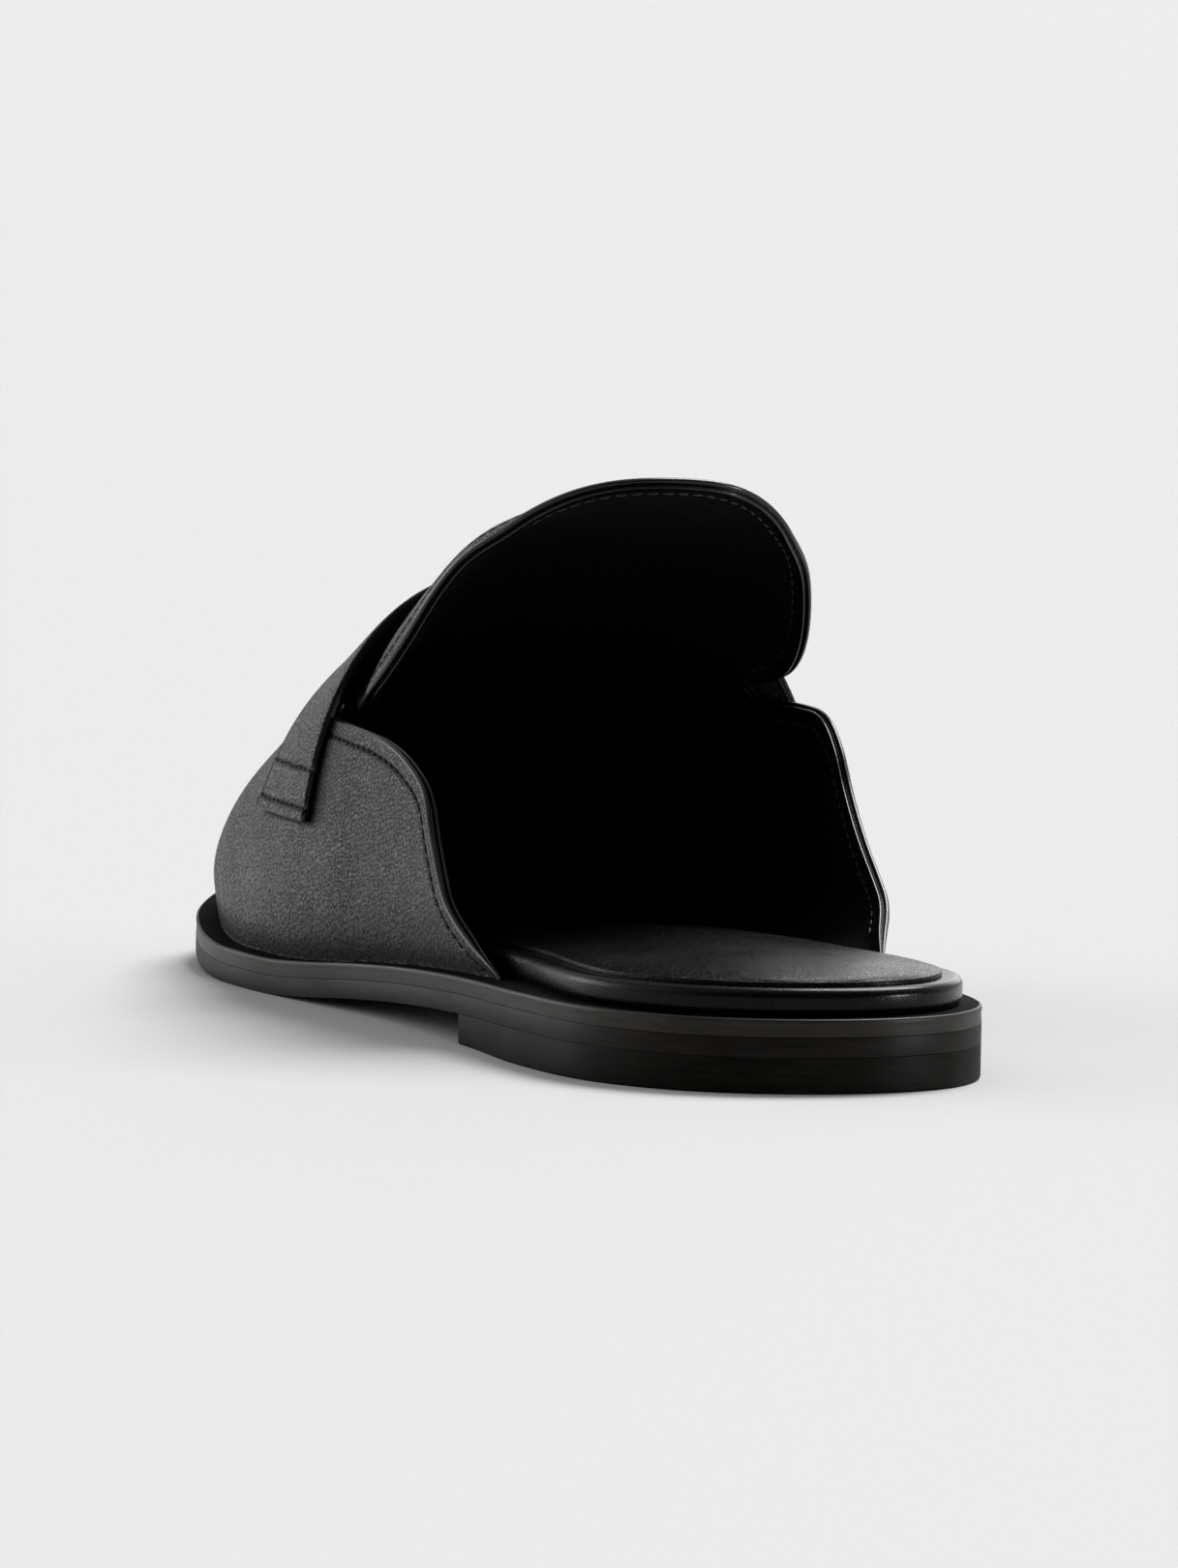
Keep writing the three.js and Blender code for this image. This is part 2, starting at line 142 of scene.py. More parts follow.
# Underside of the outsole: share of the sole length, share of the heel's lift, share of the toe spring.
UNDERSIDE = (
    (0, 1, 0), (0.15, 1, 0), (0.3, 0.87, 0), (0.42, 0.65, 0), (0.51, 0.39, 0), (0.57, 0.17, 0),
    (0.61, 0.05, 0), (0.64, 0, 0), (0.71, 0, 0), (0.77, 0, 0.11), (0.85, 0, 0.35), (0.93, 0, 0.68),
    (1, 0, 1),
)

# Arches of the upper: share of the sole length, outer and inner half width as shares of the ball
# width, crown height as a share of the instep height, squareness.
ARCHES = (
    (0.25, 0.37, 0.362, 1.33, 3.3), (0.33, 0.388, 0.393, 1.245, 3.3), (0.4, 0.393, 0.406, 1.17, 3.5),
    (0.44, 0.4, 0.416, 1.125, 4), (0.49, 0.422, 0.436, 1.07, 3.4), (0.545, 0.452, 0.466, 1, 2.8),
    (0.634, 0.472, 0.483, 0.86, 2.65), (0.7, 0.47, 0.488, 0.768, 2.7), (0.76, 0.458, 0.482, 0.682, 2.6),
    (0.83, 0.416, 0.448, 0.592, 2.45), (0.89, 0.375, 0.385, 0.512, 2.3), (1, 0.375, 0.385, 0.38, 2.2),
)

# Edge of the quarters seen from the side: on the outer and then the inner quarter, share of the sole
# length and share of the instep height.
QUARTER_EDGE = (
    (0.255, 0.1, 0.25, 0.1), (0.278, 0.157, 0.271, 0.165), (0.312, 0.212, 0.303, 0.23),
    (0.349, 0.3, 0.338, 0.31), (0.378, 0.42, 0.387, 0.41), (0.397, 0.515, 0.427, 0.51),
    (0.434, 0.576, 0.456, 0.6), (0.48, 0.614, 0.487, 0.66), (0.54, 0.63, 0.53, 0.672),
    (0.6, 0.634, 0.6, 0.674),
)


def unit(vectors: Points) -> Points:
    """Vectors scaled to length one."""
    return vectors / np.maximum(np.linalg.norm(vectors, axis=-1, keepdims=True), TINY)


def ease(start: float, end: float, value: Points) -> Points:
    """Smooth step from 0 at start to 1 at end."""
    t = np.clip((np.asarray(value, float) - start) / (end - start), 0, 1)
    return t * t * (3 - 2 * t)


def mix(a: Points, b: Points, share: Points) -> Points:
    """Straight blend from a to b."""
    return a + (b - a) * share


def bump_at(distance: Points, width: float) -> Points:
    """Bell of height one at distance zero, about two widths across at half height."""
    return np.exp(-((np.asarray(distance) / width) ** 2))


def ripple(points: Points, wavelength: float, seed: int) -> Points:
    """Gentle unevenness between about -1 and 1, the same on every run.

    Args:
        points: Places in millimetres, last axis x, y, z.
        wavelength: Rough distance between two swells, in millimetres.
        seed: Which unevenness.

    Returns:
        One value for each place.
    """
    rng = np.random.default_rng(seed)
    waves, shortest, longest = 7, 0.7, 1.6
    directions = unit(rng.normal(size=(waves, 3)))
    lengths = wavelength * rng.uniform(shortest, longest, waves)
    phases = rng.uniform(0, 2 * math.pi, waves)
    angle = points @ (directions / lengths[:, None] * 2 * math.pi).T + phases
    return np.sin(angle).sum(-1) / math.sqrt(waves)


class Track:
    """Smooth curve through one column of a table that never swings past its rows."""

    def __init__(self, table: Sequence[Sequence[float]], column: int) -> None:
        """Takes the first column of the table as places and another one as values."""
        rows = np.array([[row[0], row[column]] for row in table], float)
        self.at, self.value = rows[:, 0], rows[:, 1]
        self.step = np.diff(self.at)
        slope = np.diff(self.value) / self.step
        before, after = slope[:-1], slope[1:]
        total = np.where(np.abs(before + after) > TINY, before + after, 1)
        inner = np.where(before * after > 0, 2 * before * after / total, 0)
        self.tangent = np.concatenate([[slope[0]], inner, [slope[-1]]])

    def __call__(self, at: Points) -> Points:
        """Value at each place."""
        x = np.clip(np.asarray(at, float), self.at[0], self.at[-1])
        i = np.clip(np.searchsorted(self.at, x, side="right") - 1, 0, len(self.step) - 1)
        t = (x - self.at[i]) / self.step[i]
        rise = self.value[i + 1] - self.value[i]
        start, end = self.tangent[i] * self.step[i], self.tangent[i + 1] * self.step[i]
        bend = 3 * rise - 2 * start - end
        return self.value[i] + t * start + t * t * bend + t ** 3 * (rise - start - bend)


@dataclass
class SoleEdge:
    """Edge of the sole seen from above, and copies of it moved inwards."""

    sizes: Sizes = SIZES
    steps: int = 600

    def __post_init__(self) -> None:
        """Draws the whole edge from the back of the heel along the outer side first."""
        length, width = self.sizes.sole_length, self.sizes.ball_width
        outer = [(-row[1] * width, row[0] * length) for row in OUTLINE]
        inner = [(row[2] * width, row[0] * length) for row in reversed(OUTLINE)]
        loop = np.array([(0, 0), *outer, (0, length), *inner], float)
        self.points = self._centripetal(loop)

    def _centripetal(self, loop: Points) -> Points:
        """Closed centripetal curve through the points of loop."""
        count = len(loop)
        place = np.arange(self.steps) / self.steps * count
        i = place.astype(int)
        t = (place - i)[:, None]
        p = [loop[(i + k - 1) % count] for k in range(4)]
        gap = [np.sqrt(np.linalg.norm(p[k + 1] - p[k], axis=1))[:, None] for k in range(3)]
        start = (p[1] - p[0]) / gap[0] - (p[2] - p[0]) / (gap[0] + gap[1]) + (p[2] - p[1]) / gap[1]
        end = (p[2] - p[1]) / gap[1] - (p[3] - p[1]) / (gap[1] + gap[2]) + (p[3] - p[2]) / gap[2]
        start, end, rise = start * gap[1], end * gap[1], p[2] - p[1]
        bend = 3 * rise - 2 * start - end
        return p[1] + t * start + t * t * bend + t ** 3 * (rise - start - bend)

    def sides(self, inset: Height) -> tuple[Points, Points]:
        """The edge moved inwards.

        Args:
            inset: Distance inwards at each y.

        Returns:
            The outer and the inner side, both from the back to the front.
        """
        along = unit(np.roll(self.points, -1, 0) - np.roll(self.points, 1, 0))
        distance = inset(self.points[:, 1])
        moved = self.points + np.stack([along[:, 1] * distance, -along[:, 0] * distance], 1)
        front = int(np.argmax(moved[:, 1]))
        return moved[: front + 1], np.vstack([moved[front:], moved[:1]])[::-1]


def side_at(side: Points, y: Points) -> Points:
    """x of a side at each y."""
    climbing = np.maximum.accumulate(side[:, 1])
    return np.interp(y, climbing, side[:, 0])


class Levels:
    """Heights of the sole's layers above the floor, each at the y given."""

    def __init__(self, sizes: Sizes = SIZES) -> None:
        """Reads the underside's table."""
        self.sizes = sizes
        self.heel = Track(UNDERSIDE, 1)
        self.toe = Track(UNDERSIDE, 2)

    def underside(self, y: Points) -> Points:
        """Underside of the outsole."""
        s = self.sizes
        at = np.asarray(y, float) / s.sole_length
        return self.heel(at) * (s.heel_thickness + s.seam_gap) + self.toe(at) * s.toe_spring

    def outsole_top(self, y: Points) -> Points:
        """Top of the outsole."""
        return self.underside(y) + self.sizes.outsole_thickness

    def welt_base(self, y: Points) -> Points:
        """Underside of the welt."""
        return self.outsole_top(y) + self.sizes.seam_gap

    def welt_top(self, y: Points) -> Points:
        """Top of the welt."""
        return self.welt_base(y) + self.sizes.welt_thickness

    def upper_base(self, y: Points) -> Points:
        """Where the upper and the footbed stand."""
        return self.welt_top(y) + self.sizes.seam_gap

    def footbed_top(self, y: Points) -> Points:
        """Top of the footbed."""
        return self.upper_base(y) + self.sizes.footbed_thickness

    def sock_base(self, y: Points) -> Points:
        """Underside of the sock."""
        return self.footbed_top(y) + self.sizes.seam_gap


EDGE = SoleEdge()
LEVELS = Levels()


class Last:
    """The form the upper is drawn over."""

    stations: int = 150
    shares: int = 160
    fine_steps: int = 1200

    def __init__(self, sizes: Sizes = SIZES) -> None:
        """Prepares the arches and the even division of each section."""
        self.sizes = sizes
        self.width = {Side.OUTER: Track(ARCHES, 1), Side.INNER: Track(ARCHES, 2)}
        self.crown = Track(ARCHES, 3)
        self.full = Track(ARCHES, 4)
        outer, inner = EDGE.sides(lambda y: np.full_like(y, sizes.upper_margin))
        self.base = {Side.OUTER: outer, Side.INNER: inner}
        self.toe = float(outer[-1, 1])
        self.fan_share = (sizes.ridge_end - sizes.fan_start) / (self.toe - sizes.fan_start)
        self.table_y = np.linspace(sizes.upper_back, self.toe, self.stations)
        self.turns = {side: self._even_turns(side) for side in Side}

    def crown_station(self, y: Points) -> Points:
        """Where the crown of the section lies whose edge stands at y."""
        start = self.sizes.fan_start
        return np.where(y < start, y, start + (y - start) * self.fan_share)

    def crown_height(self, y: Points) -> Points:
        """Height of the middle line."""
        return self.crown(np.asarray(y) / self.sizes.sole_length) * self.sizes.instep_height

    def point(self, y: Points, side: Side, turn: Points) -> Points:
        """Points on the outside of the last.

        Args:
            y: Where each section meets the welt.
            side: Which side of the foot.
            turn: 0 at the welt to 1 at the crown.

        Returns:
            Places in millimetres, last axis x, y, z.
        """
        s = self.sizes
        y, turn = np.broadcast_arrays(np.asarray(y, float), np.asarray(turn, float))
        crown_y = self.crown_station(y)
        at = crown_y / s.sole_length
        base_x = np.abs(side_at(self.base[side], y))
        run = np.hypot(base_x, y - crown_y)
        swell = self.width[side](at) * s.ball_width
        fan = np.clip((y - s.fan_start) / (self.toe - s.fan_start), 0, 1)
        width = mix(swell - base_x, s.toe_swell * run, ease(0, 1, fan)) + run
        power = 2 / self.full(at)
        angle = np.clip(turn, 0, 1) * math.pi / 2
        rise = np.sin(angle) ** power
        base = LEVELS.upper_base(y)
        tuck = np.maximum(0, 1 - rise * (self.crown_height(crown_y) - base) / s.tuck_height) ** 2
        reach = width * np.maximum(np.cos(angle), 0) ** power - (width - run) * tuck
        share = np.where(turn >= 1, 0, reach / run)
        along = crown_y + (y - crown_y) * share
        z = base + rise * (self.crown_height(along) - base)
        return np.stack([side.value * base_x * share, along, z], -1)

    def _even_turns(self, side: Side) -> Points:
        """Turns that divide each station's section into even lengths."""
        fine = np.linspace(0, 1, self.fine_steps)
        even = np.linspace(0, 1, self.shares)
        table = []
        for y in self.table_y:
            section = self.point(np.full_like(fine, y), side, fine)
            length = np.concatenate([[0], np.cumsum(np.linalg.norm(np.diff(section, axis=0), axis=1))])
            table.append(np.interp(even, length / length[-1], fine))
        return np.array(table)

    def at(self, y: Points, side: Side, share: Points) -> Points:
        """Points at an even share of the way up each section, 0 at the welt and 1 at the crown."""
        y, share = np.broadcast_arrays(np.asarray(y, float), np.asarray(share, float))
        row = np.interp(y, self.table_y, np.arange(self.stations))
        column = np.clip(share, 0, 1) * (self.shares - 1)
        r = np.minimum(row.astype(int), self.stations - 2)
        c = np.minimum(column.astype(int), self.shares - 2)
        table, u, v = self.turns[side], row - r, column - c
        low = mix(table[r, c], table[r, c + 1], v)
        high = mix(table[r + 1, c], table[r + 1, c + 1], v)
        return self.point(y, side, mix(low, high, u))

    def turn_at_height(self, y: Points, z: Points) -> Points:
        """Turn at which the section at y reaches the height z."""
        crown_y = self.crown_station(y)
        base = LEVELS.upper_base(y)
        share = np.clip((z - base) / (self.crown_height(crown_y) - base), 0, 1)
        return np.arcsin(share ** (self.full(crown_y / self.sizes.sole_length) / 2)) * 2 / math.pi

    def turn_at_width(self, y: Points, side: Side, x: Points) -> Points:
        """Turn at which the section at y reaches the half width x."""
        at = np.asarray(y) / self.sizes.sole_length
        width = self.width[side](at) * self.sizes.ball_width
        return np.arccos(np.minimum(1, x / width) ** (self.full(at) / 2)) * 2 / math.pi

    def share_of(self, y: Points, side: Side, turn: Points) -> Points:
        """Even share at which the section at y reaches the turn."""
        even = np.linspace(0, 1, self.shares)
        rows = np.interp(y, self.table_y, np.arange(self.stations))
        found = []
        for row, wanted in zip(np.atleast_1d(rows), np.atleast_1d(turn)):
            r = min(int(row), self.stations - 2)
            line = mix(self.turns[side][r], self.turns[side][r + 1], row - r)
            found.append(np.interp(wanted, line, even))
        return np.array(found)


LAST = Last()


def quads_of(rows: int, columns: int) -> Points:
    """Corner numbers of the quads of a grid, row by row."""
    r, c = np.meshgrid(np.arange(rows - 1), np.arange(columns - 1), indexing="ij")
    a = (r * columns + c).ravel()
    return np.stack([a, a + 1, a + columns + 1, a + columns], 1)


def grid_normals(grid: Points) -> Points:
    """Unit normals of a grid whose columns run left to right and rows away from the viewer.

    Args:
        grid: Points, rows by columns by 3. Points that fall together share one normal.

    Returns:
        Normals of the same shape, pointing to the viewer's side.
    """
    points = grid.reshape(-1, 3)
    _, ids = np.unique(np.round(points / WELD).astype(np.int64), axis=0, return_inverse=True)
    ids = ids.reshape(-1)
    quads = quads_of(*grid.shape[:2])
    a, b, c, d = (points[quads[:, k]] for k in range(4))
    face = np.cross(c - a, d - b)
    sums = np.zeros((ids.max() + 1, 3))
    for k in range(4):
        np.add.at(sums, ids[quads[:, k]], face)
    return unit(sums[ids]).reshape(grid.shape)


def distance_to_line(points: Points, line: Points, reach: float) -> Points:
    """Distance from each point to the nearest point of a dense line, capped at reach."""
    flat = points.reshape(-1, 3)
    found = np.full(len(flat), reach)
    low, high = line.min(0) - reach, line.max(0) + reach
    near = np.flatnonzero(((flat > low) & (flat < high)).all(1))
    at_once = 4000
    for block in np.array_split(near, max(1, len(near) // at_once)):
        gaps = np.linalg.norm(flat[block][:, None] - line[None], axis=2)
        found[block] = np.minimum(reach, gaps.min(1))
    return found.reshape(points.shape[:-1])


def even_line(line: Points, count: int) -> Points:
    """A line divided again into evenly spaced points."""
    length = np.concatenate([[0], np.cumsum(np.linalg.norm(np.diff(line, axis=0), axis=1))])
    wanted = np.linspace(0, length[-1], count)
    return np.stack([np.interp(wanted, length, line[:, k]) for k in range(line.shape[1])], 1)


@dataclass
class Shell:
    """Faces gathered for one closed piece, in millimetres, with a material number for each."""

    points: list[Points] = field(default_factory=list)
    faces: list[Points] = field(default_factory=list)
    finish: list[int] = field(default_factory=list)
    shades: list[Points] = field(default_factory=list)
    count: int = 0

    def add(
        self, points: Points, faces: Sequence[Sequence[int]], finish: int = 0, shade: Points = 0.0
    ) -> None:
        """Adds points and the faces between them.

        Args:
            points: Places in millimetres.
            faces: Corner numbers of each face.
            finish: Material number of the faces.
            shade: How much painted shade darkens the colour at each point, 0 to 1.
        """
        self.points.append(points.reshape(-1, 3))
        self.shades.append(np.broadcast_to(shade, points.shape[:-1]).reshape(-1))
        for face in faces:
            self.faces.append(np.asarray(face) + self.count)
            self.finish.append(finish)
        self.count += len(self.points[-1])

    def grid(self, grid: Points, finish: int = 0, turned: bool = False, shade: Points = 0.0) -> None:
        """Adds a grid of points, seen from its other side if turned."""
        quads = quads_of(*grid.shape[:2])
        self.add(grid, quads[:, ::-1] if turned else quads, finish, shade)

    def mesh(self, name: str) -> bpy.types.Mesh:
        """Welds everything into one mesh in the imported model's frame, in metres.

        Args:
            name: Name of the mesh.

        Returns:
            The mesh, closed and facing outwards.
        """
        place = (np.concatenate(self.points) + PLACEMENT) * METRES
        mesh = bpy.data.meshes.new(name)
        mesh.from_pydata(place.tolist(), [], [face.tolist() for face in self.faces])
        mesh.polygons.foreach_set("material_index", self.finish)
        # Stores the painted shade that darkens the leather's colour.
        painted_shading = mesh.attributes.new(PAINTED_SHADE, "FLOAT", "POINT")
        painted_shading.data.foreach_set("value", np.concatenate(self.shades).astype(np.float32))
        work = bmesh.new()
        work.from_mesh(mesh)
        weld = WELD * METRES
        sliver = weld / 4
        bmesh.ops.remove_doubles(work, verts=work.verts, dist=weld)
        bmesh.ops.dissolve_degenerate(work, edges=work.edges, dist=sliver)
        if work.calc_volume(signed=True) < 0:
            bmesh.ops.reverse_faces(work, faces=work.faces)
        open_edges = sum(1 for edge in work.edges if not edge.is_manifold)
        work.to_mesh(mesh)
        work.free()
        mesh.polygons.foreach_set("use_smooth", [True] * len(mesh.polygons))
        mesh.set_sharp_from_angle(angle=math.radians(SHARP_ANGLE))
        LOG.info("%s: %d faces, %d open edges", name, len(mesh.polygons), open_edges)
        return mesh


def packed_placement() -> Points:
    """Where the shoemaker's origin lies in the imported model's frame, in millimetres."""
    low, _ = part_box("outsole")
    edge = EDGE.points
    return np.array([low.x / METRES - edge[:, 0].min(), low.y / METRES - edge[:, 1].min(), 0.0])


PLACEMENT = packed_placement()


class Nodes:
    """Short hand for building a shader tree."""

    def __init__(self, tree: bpy.types.NodeTree) -> None:
        """Wraps an empty tree."""
        self.tree = tree

    def add(self, kind: str, values: dict | None = None, **settings: object) -> bpy.types.Node:
        """Adds a node.

        Args:
            kind: Blender's name of the node.
            values: Input values or links, by the input's name or number.
            **settings: Properties of the node itself.

        Returns:
            The node.
        """
        node = self.tree.nodes.new(kind)
        for key, value in settings.items():
            setattr(node, key, value)
        for key, value in (values or {}).items():
            if isinstance(value, bpy.types.NodeSocket):
                self.tree.links.new(value, node.inputs[key])
            else:
                node.inputs[key].default_value = value
        return node

    def math(self, operation: str, a: object, b: object = 0.0, clamp: bool = False) -> bpy.types.NodeSocket:
        """Result of a math node."""
        return self.add("ShaderNodeMath", {0: a, 1: b}, operation=operation, use_clamp=clamp).outputs[0]

    def ramp(self, value: object, low: float, high: float, start: float, end: float) -> bpy.types.NodeSocket:
        """Value carried smoothly from the range low to high into start to end."""
        inputs = {0: value, 1: low, 2: high, 3: start, 4: end}
        made = self.add("ShaderNodeMapRange", inputs, interpolation_type="SMOOTHSTEP")
        return made.outputs[0]

    def noise(self, place: object, per_mm: float, detail: float = 3.0) -> bpy.types.NodeSocket:
        """Soft noise with that many swells to the millimetre."""
        values = {"Vector": place, "Scale": per_mm / METRES, "Detail": detail}
        return self.add("ShaderNodeTexNoise", values).outputs["Fac"]

    def bump(self, height: object, depth: float, strength: float = 1.0) -> bpy.types.NodeSocket:
        """Normal of a height whose unit is depth, in millimetres."""
        values = {"Height": height, "Distance": depth * METRES, "Strength": strength}
        return self.add("ShaderNodeBump", values).outputs[0]

    def blend(self, a: object, b: object, share: float) -> bpy.types.NodeSocket:
        """Share of a and the rest of b."""
        return self.math("ADD", self.math("MULTIPLY", a, share), self.math("MULTIPLY", b, 1 - share))

    def shift(self, place: object, per_mm: float, amount: float) -> bpy.types.NodeSocket:
        """Place pushed about by noise, amount in millimetres."""
        values = {"Vector": place, "Scale": per_mm / METRES, "Detail": 2.0}
        colour = self.add("ShaderNodeTexNoise", values).outputs["Color"]
        centred = self.add("ShaderNodeVectorMath", {0: colour, 1: (0.5, 0.5, 0.5)}, operation="SUBTRACT")
        values = {0: centred.outputs[0], 1: (amount * METRES,) * 3, 2: place}
        return self.add("ShaderNodeVectorMath", values, operation="MULTIPLY_ADD").outputs[0]


@dataclass(frozen=True)
class Finish:
    """What every finish has: a name, a colour and a gloss."""

    name: str
    colour: Colour
    roughness: float
    specular: float = 0.5

    def start(self) -> tuple[bpy.types.Material, Nodes, bpy.types.Node, bpy.types.NodeSocket]:
        """Makes the material with its shader.

        Returns:
            The material, its nodes, its shader and the place on the piece.
        """
        material = bpy.data.materials.new(self.name)
        material.use_nodes = True
        material.node_tree.nodes.clear()
        nodes = Nodes(material.node_tree)
        shader = nodes.add("ShaderNodeBsdfPrincipled", {"Specular IOR Level": self.specular})
        nodes.add("ShaderNodeOutputMaterial", {"Surface": shader.outputs[0]})
        place = nodes.add("ShaderNodeTexCoord").outputs["Object"]
        material.diffuse_color = (*self.colour, 1.0)
        return material, nodes, shader, place

    def tint(self, nodes: Nodes, share: object) -> bpy.types.NodeSocket:
        """The colour times share."""
        made = nodes.add("ShaderNodeVectorMath", {0: self.colour, "Scale": share}, operation="SCALE")
        return made.outputs[0]


@dataclass(frozen=True)
class Leather(Finish):
    """Leather with a grain of short broken wrinkles. Lengths are in millimetres.

    The swells are counted over the width of one wrinkle, except the patches', which are counted over
    a millimetre.
    """

    grain: float = 0.68
    grain_depth: float = 0.5
    across: Direction = (0.6, 0.28, 0.8)
    wander: float = 2.4
    wander_swells: float = 0.25
    jitter: float = 1.4
    jitter_swells: float = 0.9
    broken: float = 1.5
    broken_swells: float = 1.6
    fine_swells: float = 2.4
    fine_share: float = 0.5
    patch_swells: float = 0.05
    pebble_share: float = 0.75
    mottle: float = 0.95
    polish: float = 0.04
    wear: float = 0.05
    crease_dullness: float = 0.3
    shaded_dullness: float = 0.4
    coat: float = 0.0
    coat_roughness: float = 0.3

    def build(self) -> bpy.types.Material:
        """Makes the material."""
        material, nodes, shader, place = self.start()
        links = nodes.tree.links
        pushed = nodes.shift(place, self.wander_swells / self.grain, self.wander * self.grain)
        pushed = nodes.shift(pushed, self.jitter_swells / self.grain, self.jitter * self.grain)
        across = {0: pushed, 1: self.across}
        along = nodes.add("ShaderNodeVectorMath", across, operation="DOT_PRODUCT").outputs["Value"]
        wave = nodes.math("SINE", nodes.math("MULTIPLY", along, 2 * math.pi / (self.grain * METRES)))
        breaks = nodes.noise(pushed, self.broken_swells / self.grain, 1.0)
        breaks = nodes.ramp(breaks, *HALF, -self.broken, self.broken)
        pebble = nodes.ramp(nodes.math("ADD", wave, breaks), -1.0, 1.0, 0.0, 1.0)
        fine = nodes.noise(pushed, self.fine_swells / self.grain, 2.0)
        broad = nodes.noise(place, self.patch_swells, 3.0)
        height = nodes.math("ADD", pebble, nodes.math("MULTIPLY", fine, self.fine_share))
        links.new(nodes.bump(height, self.grain_depth), shader.inputs["Normal"])

        # Painted shade: the colour is darkened by the painted-shade attribute, and the leather is made duller
        # there.
        painted_shading = nodes.add("ShaderNodeAttribute", attribute_name=PAINTED_SHADE).outputs["Fac"]
        unshaded = nodes.math("SUBTRACT", 1.0, painted_shading, clamp=True)
        pebbled = nodes.math("ADD", pebble, nodes.math("SUBTRACT", fine, 0.5))
        patch = nodes.blend(pebbled, broad, self.pebble_share)
        lit = nodes.ramp(patch, *NEARLY_ALL, 1 - self.mottle, 1 + self.mottle)
        links.new(self.tint(nodes, nodes.math("MULTIPLY", lit, unshaded)), shader.inputs["Base Color"])

        worn = nodes.ramp(broad, *MOST, self.roughness + self.wear, self.roughness - self.polish)
        crease = nodes.math("SUBTRACT", 1.0, pebble)
        creased = nodes.math("MULTIPLY", crease, self.crease_dullness * self.mottle)
        dull = nodes.math("MULTIPLY", painted_shading, self.shaded_dullness)
        rough = nodes.math("ADD", nodes.math("ADD", worn, creased), dull, clamp=True)
        links.new(rough, shader.inputs["Roughness"])
        shader.inputs["Coat Weight"].default_value = self.coat
        shader.inputs["Coat Roughness"].default_value = self.coat_roughness
        return material


@dataclass(frozen=True)
class SoleEdgePaint(Finish):
    """Trimmed and inked sole edge: long faint trimming marks and small pits. Lengths are in millimetres."""

    mark_length: float = 6.0
    mark_width: float = 0.8
    depth: float = 0.025
    pit_swells: float = 2.2
    pit_share: float = 0.4
    patch_swells: float = 0.04
    mark_share: float = 0.6
    mottle: float = 0.5
    wear: float = 0.05

    def build(self) -> bpy.types.Material:
        """Makes the material."""
        material, nodes, shader, place = self.start()
        links = nodes.tree.links
        slim = self.mark_width / self.mark_length
        stretched = nodes.add("ShaderNodeMapping", {"Vector": place, "Scale": (slim, slim, 1.0)})
        marks = nodes.noise(stretched.outputs[0], 1 / self.mark_width, 3.0)
        pits = nodes.noise(place, self.pit_swells, 2.0)
        broad = nodes.noise(place, self.patch_swells, 2.0)
        height = nodes.math("ADD", marks, nodes.math("MULTIPLY", pits, self.pit_share))
        links.new(nodes.bump(height, self.depth), shader.inputs["Normal"])
        patch = nodes.blend(marks, broad, self.mark_share)
        lit = nodes.ramp(patch, *MOST, 1 - self.mottle, 1 + self.mottle)
        links.new(self.tint(nodes, lit), shader.inputs["Base Color"])
        rough = nodes.ramp(broad, *MOST, self.roughness - self.wear, self.roughness + self.wear)
        links.new(rough, shader.inputs["Roughness"])
        return material


@dataclass(frozen=True)
class Thread(Finish):
    """Twisted thread. Lengths are in millimetres."""

    twist: float = 0.22
    depth: float = 0.05
    softness: float = 0.8
    mottle: float = 0.4

    def build(self) -> bpy.types.Material:
        """Makes the material."""
        material, nodes, shader, place = self.start()
        fibres = nodes.noise(place, 1 / self.twist, 3.0)
        nodes.tree.links.new(nodes.bump(fibres, self.depth, self.softness), shader.inputs["Normal"])
        lit = nodes.ramp(fibres, *MOST, 1 - self.mottle, 1 + self.mottle)
        nodes.tree.links.new(self.tint(nodes, lit), shader.inputs["Base Color"])
        shader.inputs["Roughness"].default_value = self.roughness
        return material


@dataclass(frozen=True)
class Palette:
    """Every finish of the shoe."""

    upper: Leather = Leather("upper_calf", (0.044, 0.0427, 0.0416), 0.36, 0.46)
    strap: Leather = Leather("strap_calf", (0.046, 0.0446, 0.0434), 0.35, 0.48, grain_depth=0.45)
    # Folded and cut edges: a dark edge finish, made darker still as painted shade on the rounded beads of the
    # upper and the tongue.
    fold: Leather = Leather(
        "folded_edge", (0.002, 0.002, 0.002), 0.24, 0.18,
        grain_depth=0.01, mottle=0.3, coat=0.3, coat_roughness=0.14,
    )
    lining: Leather = Leather("lining_leather", (0.002, 0.002, 0.002), 0.7, 0.1, grain_depth=0.03, mottle=0.3)
    rim: Leather = Leather("rim_leather", (0.001, 0.001, 0.001), 0.22, 0.12, grain_depth=0.006, mottle=0.3)
    sock: Leather = Leather("sock_leather", (0.002, 0.002, 0.002), 0.25, 0.07, grain_depth=0.04, mottle=0.4)
    welt: SoleEdgePaint = SoleEdgePaint("welt_edge", (0.0145, 0.0126, 0.0110), 0.42, 0.20)
    # The welt's top is made near black as painted shade where the upper meets the welt.
    welt_top: SoleEdgePaint = SoleEdgePaint("welt_top", (0.002, 0.002, 0.002), 0.8, 0.03)
    outsole: SoleEdgePaint = SoleEdgePaint("outsole_edge", (0.0088, 0.0076, 0.0067), 0.48, 0.09)
    heel: SoleEdgePaint = SoleEdgePaint("heel_rubber", (0.0068, 0.0063, 0.0056), 0.52, 0.05)
    thread: Thread = Thread("black_thread", (0.003, 0.003, 0.003), 0.6, 0.15)
    # The black thread made lighter and glossier: a painted highlight on the lining's stitches.
    thread_with_painted_highlight: Thread = Thread("lining_thread_painted_highlight", (0.020, 0.020, 0.020), 0.4, 0.5)


